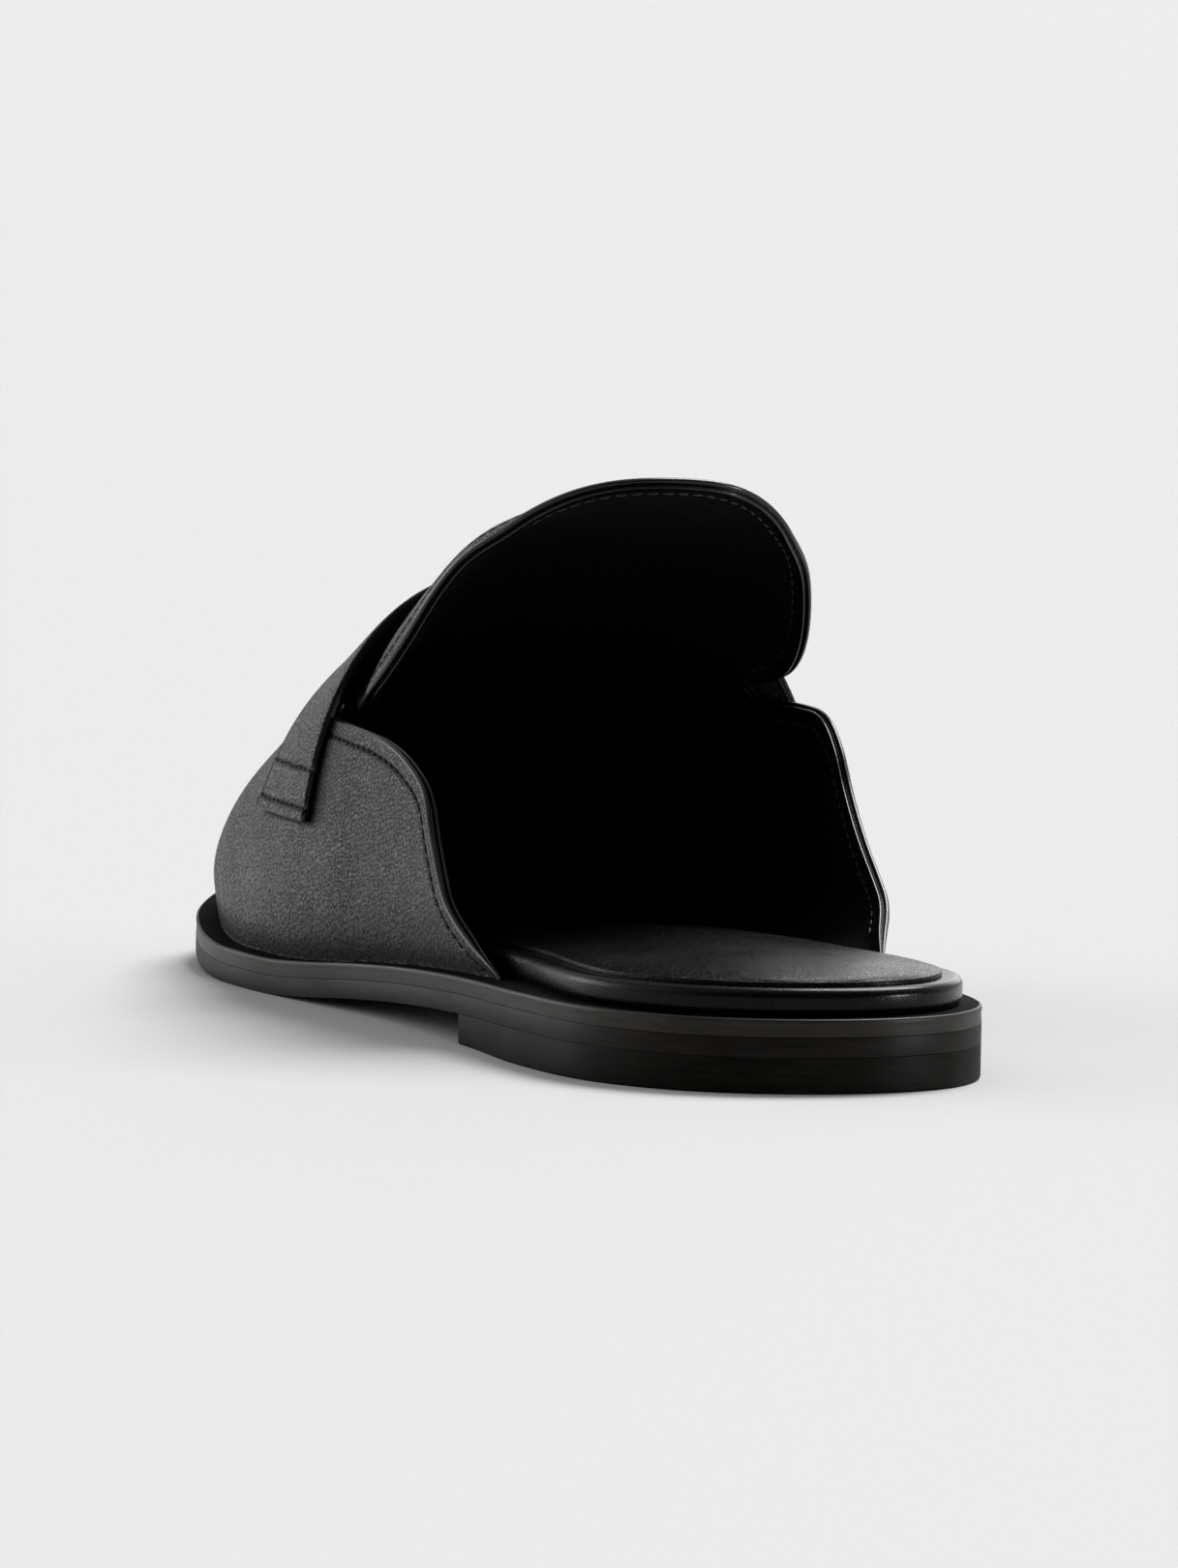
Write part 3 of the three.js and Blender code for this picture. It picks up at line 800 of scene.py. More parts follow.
class Workshop:
    """Makes pieces, and each finish once."""

    def __init__(self) -> None:
        """Builds every finish of the palette."""
        palette = Palette()
        self.materials = {key: getattr(palette, key).build() for key in palette.__dataclass_fields__}
        self.stitching = StitchTree().build()

    def piece(self, name: str, shell: Shell, finishes: Sequence[str], node: str) -> bpy.types.Object:
        """Makes a finished piece that stands for a solid.

        Args:
            name: Name of the piece.
            shell: Its faces.
            finishes: Names of its finishes in the order of the shell's numbers.
            node: The solid it stands for.

        Returns:
            The piece, riding on the shoe's body.
        """
        made = bpy.data.objects.new(name, shell.mesh(name))
        bpy.context.scene.collection.objects.link(made)
        for finish in finishes:
            made.data.materials.append(self.materials[finish])
        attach(made, BODY)
        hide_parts(node)
        return made

    def stitches(self, name: str, lines: Sequence[Points], finish: str, slot: str, row: "StitchRow") -> None:
        """Sews a row of stitches along each line as one piece.

        Args:
            name: Name of the piece.
            lines: Lines of points in millimetres.
            finish: Name of the thread's finish.
            slot: Not used.
            row: Sizes of the row.
        """
        base = bpy.data.meshes.new(name)
        points = np.concatenate(lines)
        counts = np.cumsum([0, *(len(line) for line in lines)])
        edges = [(i, i + 1) for a, b in zip(counts, counts[1:]) for i in range(a, b - 1)]
        base.from_pydata(((points + PLACEMENT) * METRES).tolist(), edges, [])
        made = bpy.data.objects.new(name, base)
        bpy.context.scene.collection.objects.link(made)
        modifier = made.modifiers.new("stitching", "NODES")
        modifier.node_group = self.stitching
        sockets = {item.name: item.identifier for item in self.stitching.interface.items_tree}
        for size, value in row.inputs().items():
            modifier[sockets[size]] = value
        modifier[sockets["Thread"]] = self.materials[finish]
        bpy.context.view_layer.update()
        evaluated = made.evaluated_get(bpy.context.evaluated_depsgraph_get())
        sewn = bpy.data.meshes.new_from_object(evaluated)
        made.modifiers.remove(modifier)
        made.data = sewn
        sewn.name = name
        sewn.polygons.foreach_set("use_smooth", [True] * len(sewn.polygons))
        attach(made, BODY)
        LOG.info("%s: %d faces of thread", name, len(sewn.polygons))


@dataclass(frozen=True)
class StitchRow:
    """Sizes of a row of stitches in millimetres, and how far the stitches lean in degrees."""

    pitch: float = 2.6
    length: float = 1.95
    thickness: float = 0.46
    lean: float = 4.0
    sunk: float = 0.14
    lining_sunk: float = 0.02

    def inputs(self) -> dict[str, float]:
        """The stitch tree's inputs by name, in metres and radians."""
        return {
            "Pitch": self.pitch * METRES,
            "Length": self.length * METRES,
            "Thickness": self.thickness * METRES,
            "Lean": math.radians(self.lean),
        }


@dataclass(frozen=True)
class Seam:
    """How a row of stitches pulls the leather in and how much shade is painted into its groove, in
    millimetres.
    """

    depth: float
    width: float
    lining_depth: float = 0.2
    lining_width: float = 0.5
    shade_paint: float = 0.85
    shade_width: float = 0.42

    def groove(self, distance: Points) -> Points:
        """Relief of the outer leather at a distance from the seam."""
        return -self.depth * bump_at(distance, self.width)

    def lining_groove(self, distance: Points) -> Points:
        """How far the lining is pulled outwards at a distance from the seam."""
        return self.lining_depth * bump_at(distance, self.lining_width)

    def painted_shading(self, distance: Points) -> Points:
        """How much shade is painted in at a distance from the seam."""
        return self.shade_paint * bump_at(distance, self.shade_width)


@dataclass(frozen=True)
class StitchTree:
    """Geometry nodes that sew stitches along the edges of a mesh."""

    sides: int = 7
    rings: int = 5
    seed: int = 11

    def build(self) -> bpy.types.NodeTree:
        """Makes the node group."""
        tree = bpy.data.node_groups.new("stitch_row", "GeometryNodeTree")
        face = tree.interface
        face.new_socket("Geometry", in_out="INPUT", socket_type="NodeSocketGeometry")
        for name, value in StitchRow().inputs().items():
            socket = face.new_socket(name, in_out="INPUT", socket_type="NodeSocketFloat")
            socket.default_value = value
        face.new_socket("Thread", in_out="INPUT", socket_type="NodeSocketMaterial")
        face.new_socket("Sewn", in_out="OUTPUT", socket_type="NodeSocketGeometry")
        nodes = Nodes(tree)
        given = nodes.add("NodeGroupInput").outputs
        curve = nodes.add("GeometryNodeMeshToCurve", {"Mesh": given["Geometry"]})
        even = nodes.add("GeometryNodeResampleCurve", {"Curve": curve.outputs[0]})
        self._by_length(even)
        tree.links.new(given["Pitch"], even.inputs["Length"])
        grain = nodes.add(
            "GeometryNodeMeshUVSphere", {"Segments": self.sides, "Rings": self.rings, "Radius": 0.5}
        )
        size = nodes.add(
            "ShaderNodeCombineXYZ", {0: given["Length"], 1: given["Thickness"], 2: given["Thickness"]}
        )
        lying = nodes.add(
            "GeometryNodeTransform", {"Geometry": grain.outputs["Mesh"], "Rotation": (0.0, math.pi / 2, 0.0)}
        )
        shaped = nodes.add("GeometryNodeTransform", {"Geometry": lying.outputs[0], "Scale": size.outputs[0]})
        tangent = nodes.add("GeometryNodeInputTangent")
        aligned = nodes.add("FunctionNodeAlignRotationToVector", {"Vector": tangent.outputs[0]}, axis="X")
        chance = nodes.add("FunctionNodeRandomValue", data_type="FLOAT_VECTOR")
        chance.inputs[0].default_value = (0.0, -1.0, -1.0)
        chance.inputs[1].default_value = (0.0, 1.0, 1.0)
        chance.inputs["Seed"].default_value = self.seed
        lean = nodes.add(
            "ShaderNodeVectorMath", {0: chance.outputs[0], "Scale": given["Lean"]}, operation="SCALE"
        )
        turned = nodes.add(
            "FunctionNodeRotateRotation",
            {"Rotation": aligned.outputs[0], "Rotate By": lean.outputs[0]},
            rotation_space="LOCAL",
        )
        placed = nodes.add(
            "GeometryNodeInstanceOnPoints",
            {"Points": even.outputs[0], "Instance": shaped.outputs[0], "Rotation": turned.outputs[0]},
        )
        real = nodes.add("GeometryNodeRealizeInstances", {"Geometry": placed.outputs[0]})
        dyed = nodes.add(
            "GeometryNodeSetMaterial", {"Geometry": real.outputs[0], "Material": given["Thread"]}
        )
        nodes.add("NodeGroupOutput", {"Sewn": dyed.outputs[0]})
        return tree

    @staticmethod
    def _by_length(node: bpy.types.Node) -> None:
        """Sets a resampling node to even lengths, wherever this version keeps that choice."""
        if hasattr(node, "mode"):
            node.mode = "LENGTH"
        else:
            node.inputs["Mode"].default_value = "Length"


@dataclass
class SoleLayer:
    """One layer of the sole, from levels stacked bottom first, each an inset and a height."""

    levels: list[tuple[Height, Height]]
    front: float = math.inf
    stations: int = 150
    crown: float = 0.0
    shoulder_share: float = 0.4
    shoulder_run: float = 1.6
    dome_run: float = 26.0
    across: int = 1

    def _ring(self, inset: Height, height: Height) -> Points:
        """Left and right points of each station of a level."""
        outer, inner = EDGE.sides(inset)
        back, end = outer[0, 1], min(self.front, outer[-1, 1])
        blunt = end == self.front
        turn = np.linspace(0, math.pi / 2 if blunt else math.pi, self.stations + 1)
        share = 1 - np.cos(turn) if blunt else (1 - np.cos(turn)) / 2
        y = back + (end - back) * share
        left, right = side_at(outer, y), side_at(inner, y)
        right[0] = left[0]
        if not blunt:
            right[-1] = left[-1]
        z = height(y)
        return np.stack([np.stack([left, y, z], 1), np.stack([right, y, z], 1)], 1)

    def shell(self, finish_top: int = 0) -> Shell:
        """Closes the layer.

        Args:
            finish_top: Material number of the top.

        Returns:
            The faces of the layer.
        """
        rings = [self._ring(inset, height) for inset, height in self.levels]
        loops = [np.vstack([ring[:, 0], ring[::-1, 1], ring[:1, 0]]) for ring in rings]
        made = Shell()
        made.grid(np.array(loops))
        made.grid(rings[0])
        made.grid(self._top(rings[-1]), finish_top, turned=True)
        return made

    def _top(self, ring: Points) -> Points:
        """The top, swelled in the middle by the crown."""
        share = np.linspace(0, 1, self.across + 1)[None, :, None]
        top = mix(ring[:, :1], ring[:, 1:], share)
        half = np.linalg.norm(ring[:, 1] - ring[:, 0], axis=1)[:, None] / 2
        inward = np.minimum(share[..., 0], 1 - share[..., 0]) * 2 * half
        along = np.minimum(ring[:, 0, 1] - ring[0, 0, 1], ring[-1, 0, 1] - ring[:, 0, 1])[:, None]
        nearest = np.minimum(inward, along)
        shoulder = 1 - np.exp(-nearest / self.shoulder_run)
        dome = ease(0, self.dome_run, nearest)
        top[..., 2] += self.crown * mix(dome, shoulder, self.shoulder_share)
        return top


def rounded(inset: Height, top: Height, radius: float, steps: int = 6) -> list[tuple[Height, Height]]:
    """Levels of a round shoulder that ends level with the top."""
    made = []
    for turn in np.linspace(0, math.pi / 2, steps + 1):
        inwards, drop = radius * (1 - math.cos(turn)), radius * (1 - math.sin(turn))
        made.append((
            lambda y, inwards=inwards: inset(y) + inwards,
            lambda y, drop=drop: top(y) - drop,
        ))
    return made


def undercut(inset: Height, base: Height, radius: float, steps: int = 4) -> list[tuple[Height, Height]]:
    """Levels of a round lower edge that starts level with the base."""
    made = []
    for turn in np.linspace(0, math.pi / 2, steps + 1):
        inwards, rise = radius * (1 - math.sin(turn)), radius * (1 - math.cos(turn))
        made.append((
            lambda y, inwards=inwards: inset(y) + inwards,
            lambda y, rise=rise: base(y) + rise,
        ))
    return made


def flush(y: Points) -> Points:
    """No inset."""
    return np.zeros_like(y)


@dataclass
class Sole:
    """Heel, outsole, welt, footbed and sock."""

    shop: Workshop
    sizes: Sizes = SIZES
    edge_round: float = 0.45
    bevel: float = 0.8
    waist: float = 0.25
    pad: float = 0.9
    sock_edge: float = 0.45
    seat: float = 0.25
    seam_round: float = 0.07
    touch: float = 0.02
    wrap: tuple[Span, ...] = ((0.7, 0.0), (0.25, 0.5), (0.05, 1.2))
    lip: Span = (1.4, 0.05)

    def build(self) -> None:
        """Makes and dresses the layers from the floor up."""
        self.heel()
        self.outsole()
        self.welt()
        self.footbed()
        self.sock()

    def heel(self) -> None:
        """Low rubber heel with a blunt front."""
        top: Height = lambda y: LEVELS.underside(y) - self.touch
        floor: Height = lambda y: np.zeros_like(y)
        levels = [*undercut(flush, floor, self.edge_round), *rounded(flush, top, self.seam_round, steps=3)]
        layer = SoleLayer(levels, front=self.sizes.heel_length)
        self.shop.piece("heel_block", layer.shell(), ["heel"], "heel")

    def outsole(self) -> None:
        """Thin outsole that follows the arch and the toe spring."""
        top: Height = lambda y: LEVELS.welt_base(y) - self.touch
        levels = [
            *undercut(flush, LEVELS.underside, self.seam_round),
            *rounded(flush, top, self.seam_round, steps=3),
        ]
        self.shop.piece("outsole_layer", SoleLayer(levels).shell(), ["outsole"], "outsole")

    def welt(self) -> None:
        """Welt with a lightly waisted edge and a bevel along its top, its top darkened as painted shade where
        the upper meets it.
        """
        base, top = LEVELS.welt_base, LEVELS.welt_top
        middle: Height = lambda y: (base(y) + top(y)) / 2
        levels = [
            *undercut(flush, base, self.seam_round, steps=3),
            (lambda y: np.full_like(y, self.waist / 2), middle),
            (flush, lambda y: top(y) - self.bevel),
            *rounded(flush, top, self.bevel / 2, steps=5),
        ]
        # The top takes the near-black finish: painted shade under the upper.
        layer = SoleLayer(levels).shell(finish_top=1)
        self.shop.piece("welt_strip", layer, ["welt", "welt_top"], "welt")

    def footbed_inset(self, y: Points) -> Points:
        """Inset of the footbed: its rim shows at the heel and further on lies inside the upper."""
        s = self.sizes
        inside = s.upper_margin + s.upper_wall + s.lining_gap
        return mix(s.rim_margin, inside, ease(s.rim_back, s.upper_back, y))

    def footbed(self) -> None:
        """Footbed wrapped in leather, its rim pulled in under the round edge."""
        inset, round_ = self.footbed_inset, self.sizes.rim_round
        base: Height = lambda y: LEVELS.upper_base(y) - self.seat
        levels = [
            (lambda y, inwards=inwards: inset(y) + inwards, lambda y, rise=rise: base(y) + rise)
            for inwards, rise in self.wrap
        ]
        inwards, drop = self.lip
        levels += rounded(inset, LEVELS.footbed_top, round_, steps=9)
        levels.append((lambda y: inset(y) + round_ + inwards, lambda y: LEVELS.footbed_top(y) - drop))
        self.shop.piece("footbed_wrap", SoleLayer(levels).shell(), ["rim"], "footbed")

    def sock(self) -> None:
        """Padded sock, crowned towards its middle."""
        inset: Height = lambda y: self.footbed_inset(y) + self.sizes.sock_margin
        base: Height = lambda y: LEVELS.sock_base(y) - self.seat
        top: Height = lambda y: LEVELS.sock_base(y) + self.sock_edge
        levels = [(inset, base), *rounded(inset, top, self.sock_edge / 2, steps=4)]
        crown = self.pad + self.sizes.sock_thickness - self.sock_edge
        layer = SoleLayer(levels, crown=crown, across=60)
        made = self.shop.piece("sock_pad", layer.shell(), ["sock"], "sock")


@dataclass
class Rim:
    """Folded edge of a leather sheet: two beads, the outer leather's and the lining's, with a groove."""

    outer_share: float = 0.6
    lining_stand: float = 0.8
    open_turn: float = 150.0
    steps: int = 10
    face_steps: int = 2

    def bend(self, outside: Points, lining: Points, away: Points, reach: Points) -> Points:
        """Skin round the edge, from the outer leather's border to the lining's.

        Args:
            outside: Border of the outer leather.
            lining: Border of the lining.
            away: Directions out of the sheet along the border.
            reach: How far the edge stands out.

        Returns:
            Points, steps by the border's points by 3.
        """
        half, rest = self.outer_share / 2, (1 - self.outer_share) / 2
        turns = np.radians(np.linspace(0, self.open_turn, self.steps + 1))
        outer = [(half * (1 - math.cos(t)), math.sin(t)) for t in turns]
        inner = [(1 - rest * (1 - math.cos(t)), self.lining_stand * math.sin(t)) for t in turns[::-1]]
        return np.array([mix(outside, lining, u) + away * reach * stand for u, stand in (*outer, *inner)])

    def close(self, shell: Shell, skin: Points, face: int, fold: int) -> None:
        """Adds the folded skin, its first steps in the face's finish and the others in the fold's."""
        cut = self.face_steps
        shell.grid(skin[: cut + 1], face, turned=True)
        shell.grid(skin[cut:], fold, turned=True)


@dataclass
class CutEdge(Rim):
    """Cut and painted edge of a strip: one low bead."""

    def bend(self, outside: Points, lining: Points, away: Points, reach: Points) -> Points:
        """Skin round the edge, from the upper border to the lower."""
        bead = [((1 - math.cos(t)) / 2, math.sin(t)) for t in np.linspace(0, math.pi, self.steps + 1)]
        return np.array([mix(outside, lining, share) + away * reach * stand for share, stand in bead])


def edge_frames(border: Points, inner: Points, normal: Points, closed: bool) -> Points:
    """Directions out of a sheet along one of its borders.

    Args:
        border: Points of the border.
        inner: The next points inwards.
        normal: Normals along the border.
        closed: Whether the border is a loop whose last point repeats the first.

    Returns:
        Unit directions.
    """
    if closed:
        along = np.roll(border[:-1], -1, 0) - np.roll(border[:-1], 1, 0)
        along = np.vstack([along, along[:1]])
    else:
        along = np.gradient(border, axis=0)
    along = unit(along)
    out = border - inner
    out -= (out * normal).sum(-1, keepdims=True) * normal
    out -= (out * along).sum(-1, keepdims=True) * along
    return unit(out)


def sewing_line(
    skin: Points, normals: Points, distance: Points, margin: float, columns: Sequence[int]
) -> tuple[Points, Points]:
    """Line that keeps a margin from the edge of a sheet.

    Args:
        skin: Points of the sheet, rows from its edge inwards.
        normals: Normals at the points.
        distance: Distance from the edge at the points.
        margin: Distance that the line keeps.
        columns: Columns that the line crosses, in order.

    Returns:
        Points of the line and the normals there.
    """
    line, lift = [], []
    for column in columns:
        row = int(np.argmax(distance[:, column] > margin))
        span = distance[row, column] - distance[row - 1, column]
        share = (margin - distance[row - 1, column]) / max(span, LEAST_SPAN)
        line.append(mix(skin[row - 1, column], skin[row, column], share))
        lift.append(normals[row, column])
    return np.array(line), np.array(lift)


@dataclass(frozen=True)
class Unevenness:
    """Gentle swells of a leather surface, in millimetres, and their seed."""

    height: float
    wavelength: float
    seed: int
    band: Span = (-1.0, 0.0)

    def on(self, points: Points, distance: Points | float = 0.0) -> Points:
        """Relief at each point, growing over the band of distances from the edge."""
        return self.height * ripple(points, self.wavelength, self.seed) * ease(*self.band, distance)


@dataclass(frozen=True)
class FlankFold:
    """Soft trough or swell down the outer flank, in millimetres. A trough's height is negative."""

    at: float
    width: float
    height: float
    top: Span
    foot: Span
    lean: float = 0.0
    lean_from: float = 22.0
    flank: Span = (-25.0, -33.0)

    def on(self, skin: Points) -> Points:
        """Relief at each point."""
        x, y, z = skin[..., 0], skin[..., 1], skin[..., 2]
        middle = self.at + self.lean * (z - self.lean_from)
        shape = self.height * bump_at(y - middle, self.width)
        return shape * ease(*self.flank, x) * ease(*self.top, z) * ease(*self.foot, z)


@dataclass(frozen=True)
class UpperPaintedShade:
    """How much shade is painted on the upper, along the welt, round the strap and as a shadow behind it, and
    over which distances in millimetres.
    """

    welt: float = 0.9
    welt_band: Span = (6.0, 0.4)
    strap: float = 0.9
    strap_band: Span = (1.1, 0.2)
    # Painted shadow that the strap casts on the flank behind it.
    behind: float = 0.45
    behind_band: Span = (6.5, 0.5)
    behind_fade: float = 3.0


@dataclass
class Upper:
    """Vamp and quarters: one hollow piece of leather with a lining and a folded edge."""

    shop: Workshop
    sizes: Sizes = SIZES
    quarter_columns: int = 92
    throat_columns: int = 30
    rows: int = 112
    toe_crowding: float = 3.0
    toe_fan: Span = (0.9, 1.25)
    line_steps: int = 500
    border_steps: int = 900
    border_reach: float = 30.0
    edge_reach: float = 1.1
    fold_reach: float = 9.0
    stitch_margin: float = 2.1
    tip_share: float = 0.22
    tip_length: float = 16.0
    seat: float = 0.25
    seam: Seam = Seam(depth=0.34, width=0.45, lining_depth=0.22)
    beside_seam: tuple[float, float, float] = (1.6, 0.12, 1.1)
    skin_swells: Unevenness = Unevenness(0.10, 34.0, 5, (4.0, 20.0))
    folds: tuple[FlankFold, ...] = (
        FlankFold(139.0, 5.0, -0.50, (40.0, 28.0), (15.0, 22.0), lean=0.2),
        FlankFold(126.0, 9.0, 0.18, (44.0, 26.0), (13.0, 18.0)),
    )
    lasted_swells: Unevenness = Unevenness(1.0, 9.0, 8)
    lasted_depth: float = 0.06
    lasted_band: Span = (20.0, 14.5)
    shade_paint: UpperPaintedShade = UpperPaintedShade()
    stitch_row: StitchRow = StitchRow()
    sewn_under_strap: float = 4.0
    clear_outside: float = 0.8
    clear_lining: float = 5.0

    def edge_line(self, side: Side) -> tuple[Points, Points]:
        """Edge of one quarter and of the throat above it, as y and share up the section."""
        s = self.sizes
        table = np.array(QUARTER_EDGE)
        outer = self._spline(table[:, :2] * [s.sole_length, s.instep_height])
        inner = self._spline(table[:, 2:] * [s.sole_length, s.instep_height])
        half = s.ball_width / 2 - s.quarter_margin
        x = np.full(len(outer), side.value * half)
        rounds = 5
        for _ in range(rounds):
            line = mix(outer, inner, ((x + half) / (2 * half))[:, None])
            turn = LAST.turn_at_height(line[:, 0], line[:, 1])
            x = LAST.point(line[:, 0], side, turn)[:, 0]
        above = line[:, 1] >= LEVELS.upper_base(line[:, 0])
        first = int(np.argmax(above))
        low, high = line[first - 1], line[first]
        drop = (LEVELS.upper_base(np.array([low[0], high[0]])) - [low[1], high[1]])
        start = mix(low, high, drop[0] / (drop[0] - drop[1]))
        line = np.vstack([start, line[first:]])
        end = line[-1]
        corner_steps, corner_rise = 12, 1.0
        bend = np.linspace(0, 1, corner_steps)[1:, None]
        corner = np.array([s.throat_line, end[1] + corner_rise])
        top = np.array([s.throat_line, end[1] + s.throat_round])
        curve = mix(mix(end, corner, bend), mix(corner, top, bend), bend)
        line = even_line(np.vstack([line, curve]), self.line_steps)
        turn = LAST.turn_at_height(line[:, 0], line[:, 1])
        return line[:, 0], LAST.share_of(line[:, 0], side, turn)

    @staticmethod
    def _spline(table: Points, steps: int = 24) -> Points:
        """Smooth curve through a table of points."""
        padded = np.vstack([table[:1], table, table[-1:]])
        t = np.arange(steps)[:, None] / steps
        spans = []
        for i in range(len(table) - 1):
            a, b, c, d = padded[i:i + 4]
            start, end, rise = (c - a) / 2, (d - b) / 2, c - b
            bend = 3 * rise - 2 * start - end
            spans.append(b + t * start + t * t * bend + t ** 3 * (rise - start - bend))
        return np.vstack([*spans, table[-1:]])

    def _half(self, side: Side) -> Points:
        """Skin of one side, rows from the edge to the toe, columns from the welt to the crown."""
        y, share = self.edge_line(side)
        places = LAST.at(y, side, share)
        length = np.concatenate([[0], np.cumsum(np.linalg.norm(np.diff(places, axis=0), axis=1))])
        wanted = np.linspace(0, length[-1], self.quarter_columns + 1)
        edge_y, edge_share = np.interp(wanted, length, y), np.interp(wanted, length, share)
        top = share[-1]
        throat = np.linspace(top, 1, self.throat_columns + 1)[1:]
        edge_y = np.concatenate([edge_y, np.full(len(throat), self.sizes.throat_line)])
        edge_share = np.concatenate([edge_share, throat])
        reach, power = self.toe_fan
        quarter = reach * top * np.linspace(0, 1, self.quarter_columns + 1) ** power
        toe_share = np.concatenate([quarter, mix(quarter[-1], 1, (throat - top) / (1 - top))])
        steps = np.linspace(0, 1, self.rows + 1)
        grown = np.expm1(self.toe_crowding * steps) / math.expm1(self.toe_crowding)
        v = (1 - (1 - grown) ** 2)[:, None]
        return LAST.at(mix(edge_y, LAST.toe, v), side, mix(edge_share, toe_share, v))

    def skin(self) -> Points:
        """Outside of the last between the two welt lines, before any relief."""
        outer, inner = self._half(Side.OUTER), self._half(Side.INNER)
        grid = np.concatenate([outer, inner[:, -2::-1]], 1)
        grid[-1, :, 0] = 0
        mirror = grid[-1, ::-1].copy()
        grid[-1] = (grid[-1] + mirror) / 2
        middle = grid.shape[1] // 2
        grid[:, middle, 0] = 0
        return grid

    def build(self) -> None:
        """Makes the shell, its relief, its folded edge and its seams."""
        skin = self.skin()
        normals = grid_normals(skin)
        normals[-1, :, 0] = 0
        normals[-1] = unit(normals[-1])
        away = edge_frames(skin[0], skin[3], normals[0], closed=False)
        walked = np.linalg.norm(skin - skin[:1], axis=-1)
        fold = 1 - ease(0, self.fold_reach, walked)
        along = np.linalg.norm(np.diff(skin[0], axis=0), axis=1)
        along = np.concatenate([[0], np.cumsum(along)])
        taper = mix(self.tip_share, 1, ease(0, self.tip_length, np.minimum(along, along[-1] - along)))
        thin = mix(1, taper[None], 1 - ease(0, self.tip_length, walked))
        skin = skin - away[None] * (self.edge_reach * taper * fold)[..., None]
        border = even_line(skin[0], self.border_steps)
        distance = distance_to_line(skin, border, self.border_reach)
        relief = self.relief(skin, distance)
        outside = skin + normals * relief[..., None]
        wall = self.sizes.upper_wall * thin
        lining_relief = self.seam.lining_groove(distance - self.stitch_margin) - wall
        lining = skin + normals * lining_relief[..., None]
        for grid in (outside, lining):
            for column in (0, -1):
                grid[:, column, 2] = LEVELS.upper_base(grid[:, column, 1]) - self.seat
        rim = Rim().bend(outside[0], lining[0], away, self.edge_reach * taper[:, None])
        shell = Shell()
        shell.grid(outside, shade=self.shade(skin, distance))
        shell.grid(lining, 1, turned=True)
        Rim().close(shell, rim, 0, 2)
        for column in (0, -1):
            foot = np.stack([outside[:, column], lining[:, column]])
            shell.grid(foot, 0, turned=column == 0)
            shell.add(rim[:, column], [range(len(rim))])
        self.shop.piece("upper_shell", shell, ["upper", "lining", "fold"], "upper")
        self.sew(skin, normals, distance, self.sizes.upper_wall)

    def shade(self, skin: Points, distance: Points) -> Points:
        """Painted shade: in the edge seam, round the strap, as the strap's shadow behind it and along the
        welt.
        """
        s, shade_paint = self.sizes, self.shade_paint
        y, z = skin[..., 1], skin[..., 2]
        seam = self.seam.painted_shading(distance - self.stitch_margin) * (y < s.strap_back)
        # Painted shade where the upper meets the welt, darker towards the bottom.
        welt = shade_paint.welt * ease(*shade_paint.welt_band, z - LEVELS.upper_base(y))
        behind = np.maximum(s.strap_back - y, 0)
        flared_at = 60.0
        front = s.strap_front + s.strap_flare * ease(flared_at, s.strap_end_height, z)
        beyond = np.maximum(np.maximum(behind, y - front), s.strap_end_height - z)
        # Painted shade in the gap round the strap's footprint.
        gap = shade_paint.strap * ease(*shade_paint.strap_band, beyond)
        beside = ease(s.strap_end_height - shade_paint.behind_fade, s.strap_end_height + shade_paint.behind_fade, z)
        # Painted shadow of the strap on the flank behind it.
        soft = shade_paint.behind * ease(*shade_paint.behind_band, behind) * beside * (behind > 0)
        return np.max([seam, welt, gap, soft], axis=0)

    def relief(self, skin: Points, distance: Points) -> Points:
        """Troughs and swells of the outer leather, in millimetres along its normal.

        Args:
            skin: Points of the smooth skin.
            distance: Distance from the folded edge at each point.

        Returns:
            Height of the relief at each point.
        """
        from_seam = distance - self.stitch_margin
        beside, swell, width = self.beside_seam
        height = self.skin_swells.on(skin, distance) + self.seam.groove(from_seam)
        height += swell * bump_at(from_seam - beside, width)
        for fold in self.folds:
            height += fold.on(skin)
        lasted = ease(*self.lasted_band, skin[..., 2])
        return height - self.lasted_depth * lasted * (1 + self.lasted_swells.on(skin)) / 2

    def sew(self, skin: Points, normals: Points, distance: Points, wall: float) -> None:
        """Stitches the quarters' edges, outside and on the lining."""
        line, lift = sewing_line(skin, normals, distance, self.stitch_margin, range(skin.shape[1]))
        shown = line[:, 1] < self.sizes.strap_back + self.sewn_under_strap
        above = line[:, 2] - LEVELS.upper_base(line[:, 1])
        row = self.stitch_row

        def sewn(clear: float, sunk: float) -> list[Points]:
            """Lines of the outer and the inner quarter where they stand clear of the welt."""
            found = []
            for side in Side:
                ends = np.flatnonzero(shown & (above > clear) & (line[:, 0] * side.value > 0))
                part = slice(ends[0], ends[-1] + 1)
                found.append(line[part] - lift[part] * sunk)
            return found

        out = sewn(self.clear_outside, row.sunk)
        inside = sewn(self.clear_lining, wall - row.lining_sunk)
        self.shop.stitches("quarter_stitches", out, "thread", "upper", row)
        self.shop.stitches("lining_stitches", inside, "thread_with_painted_highlight", "upper", row)


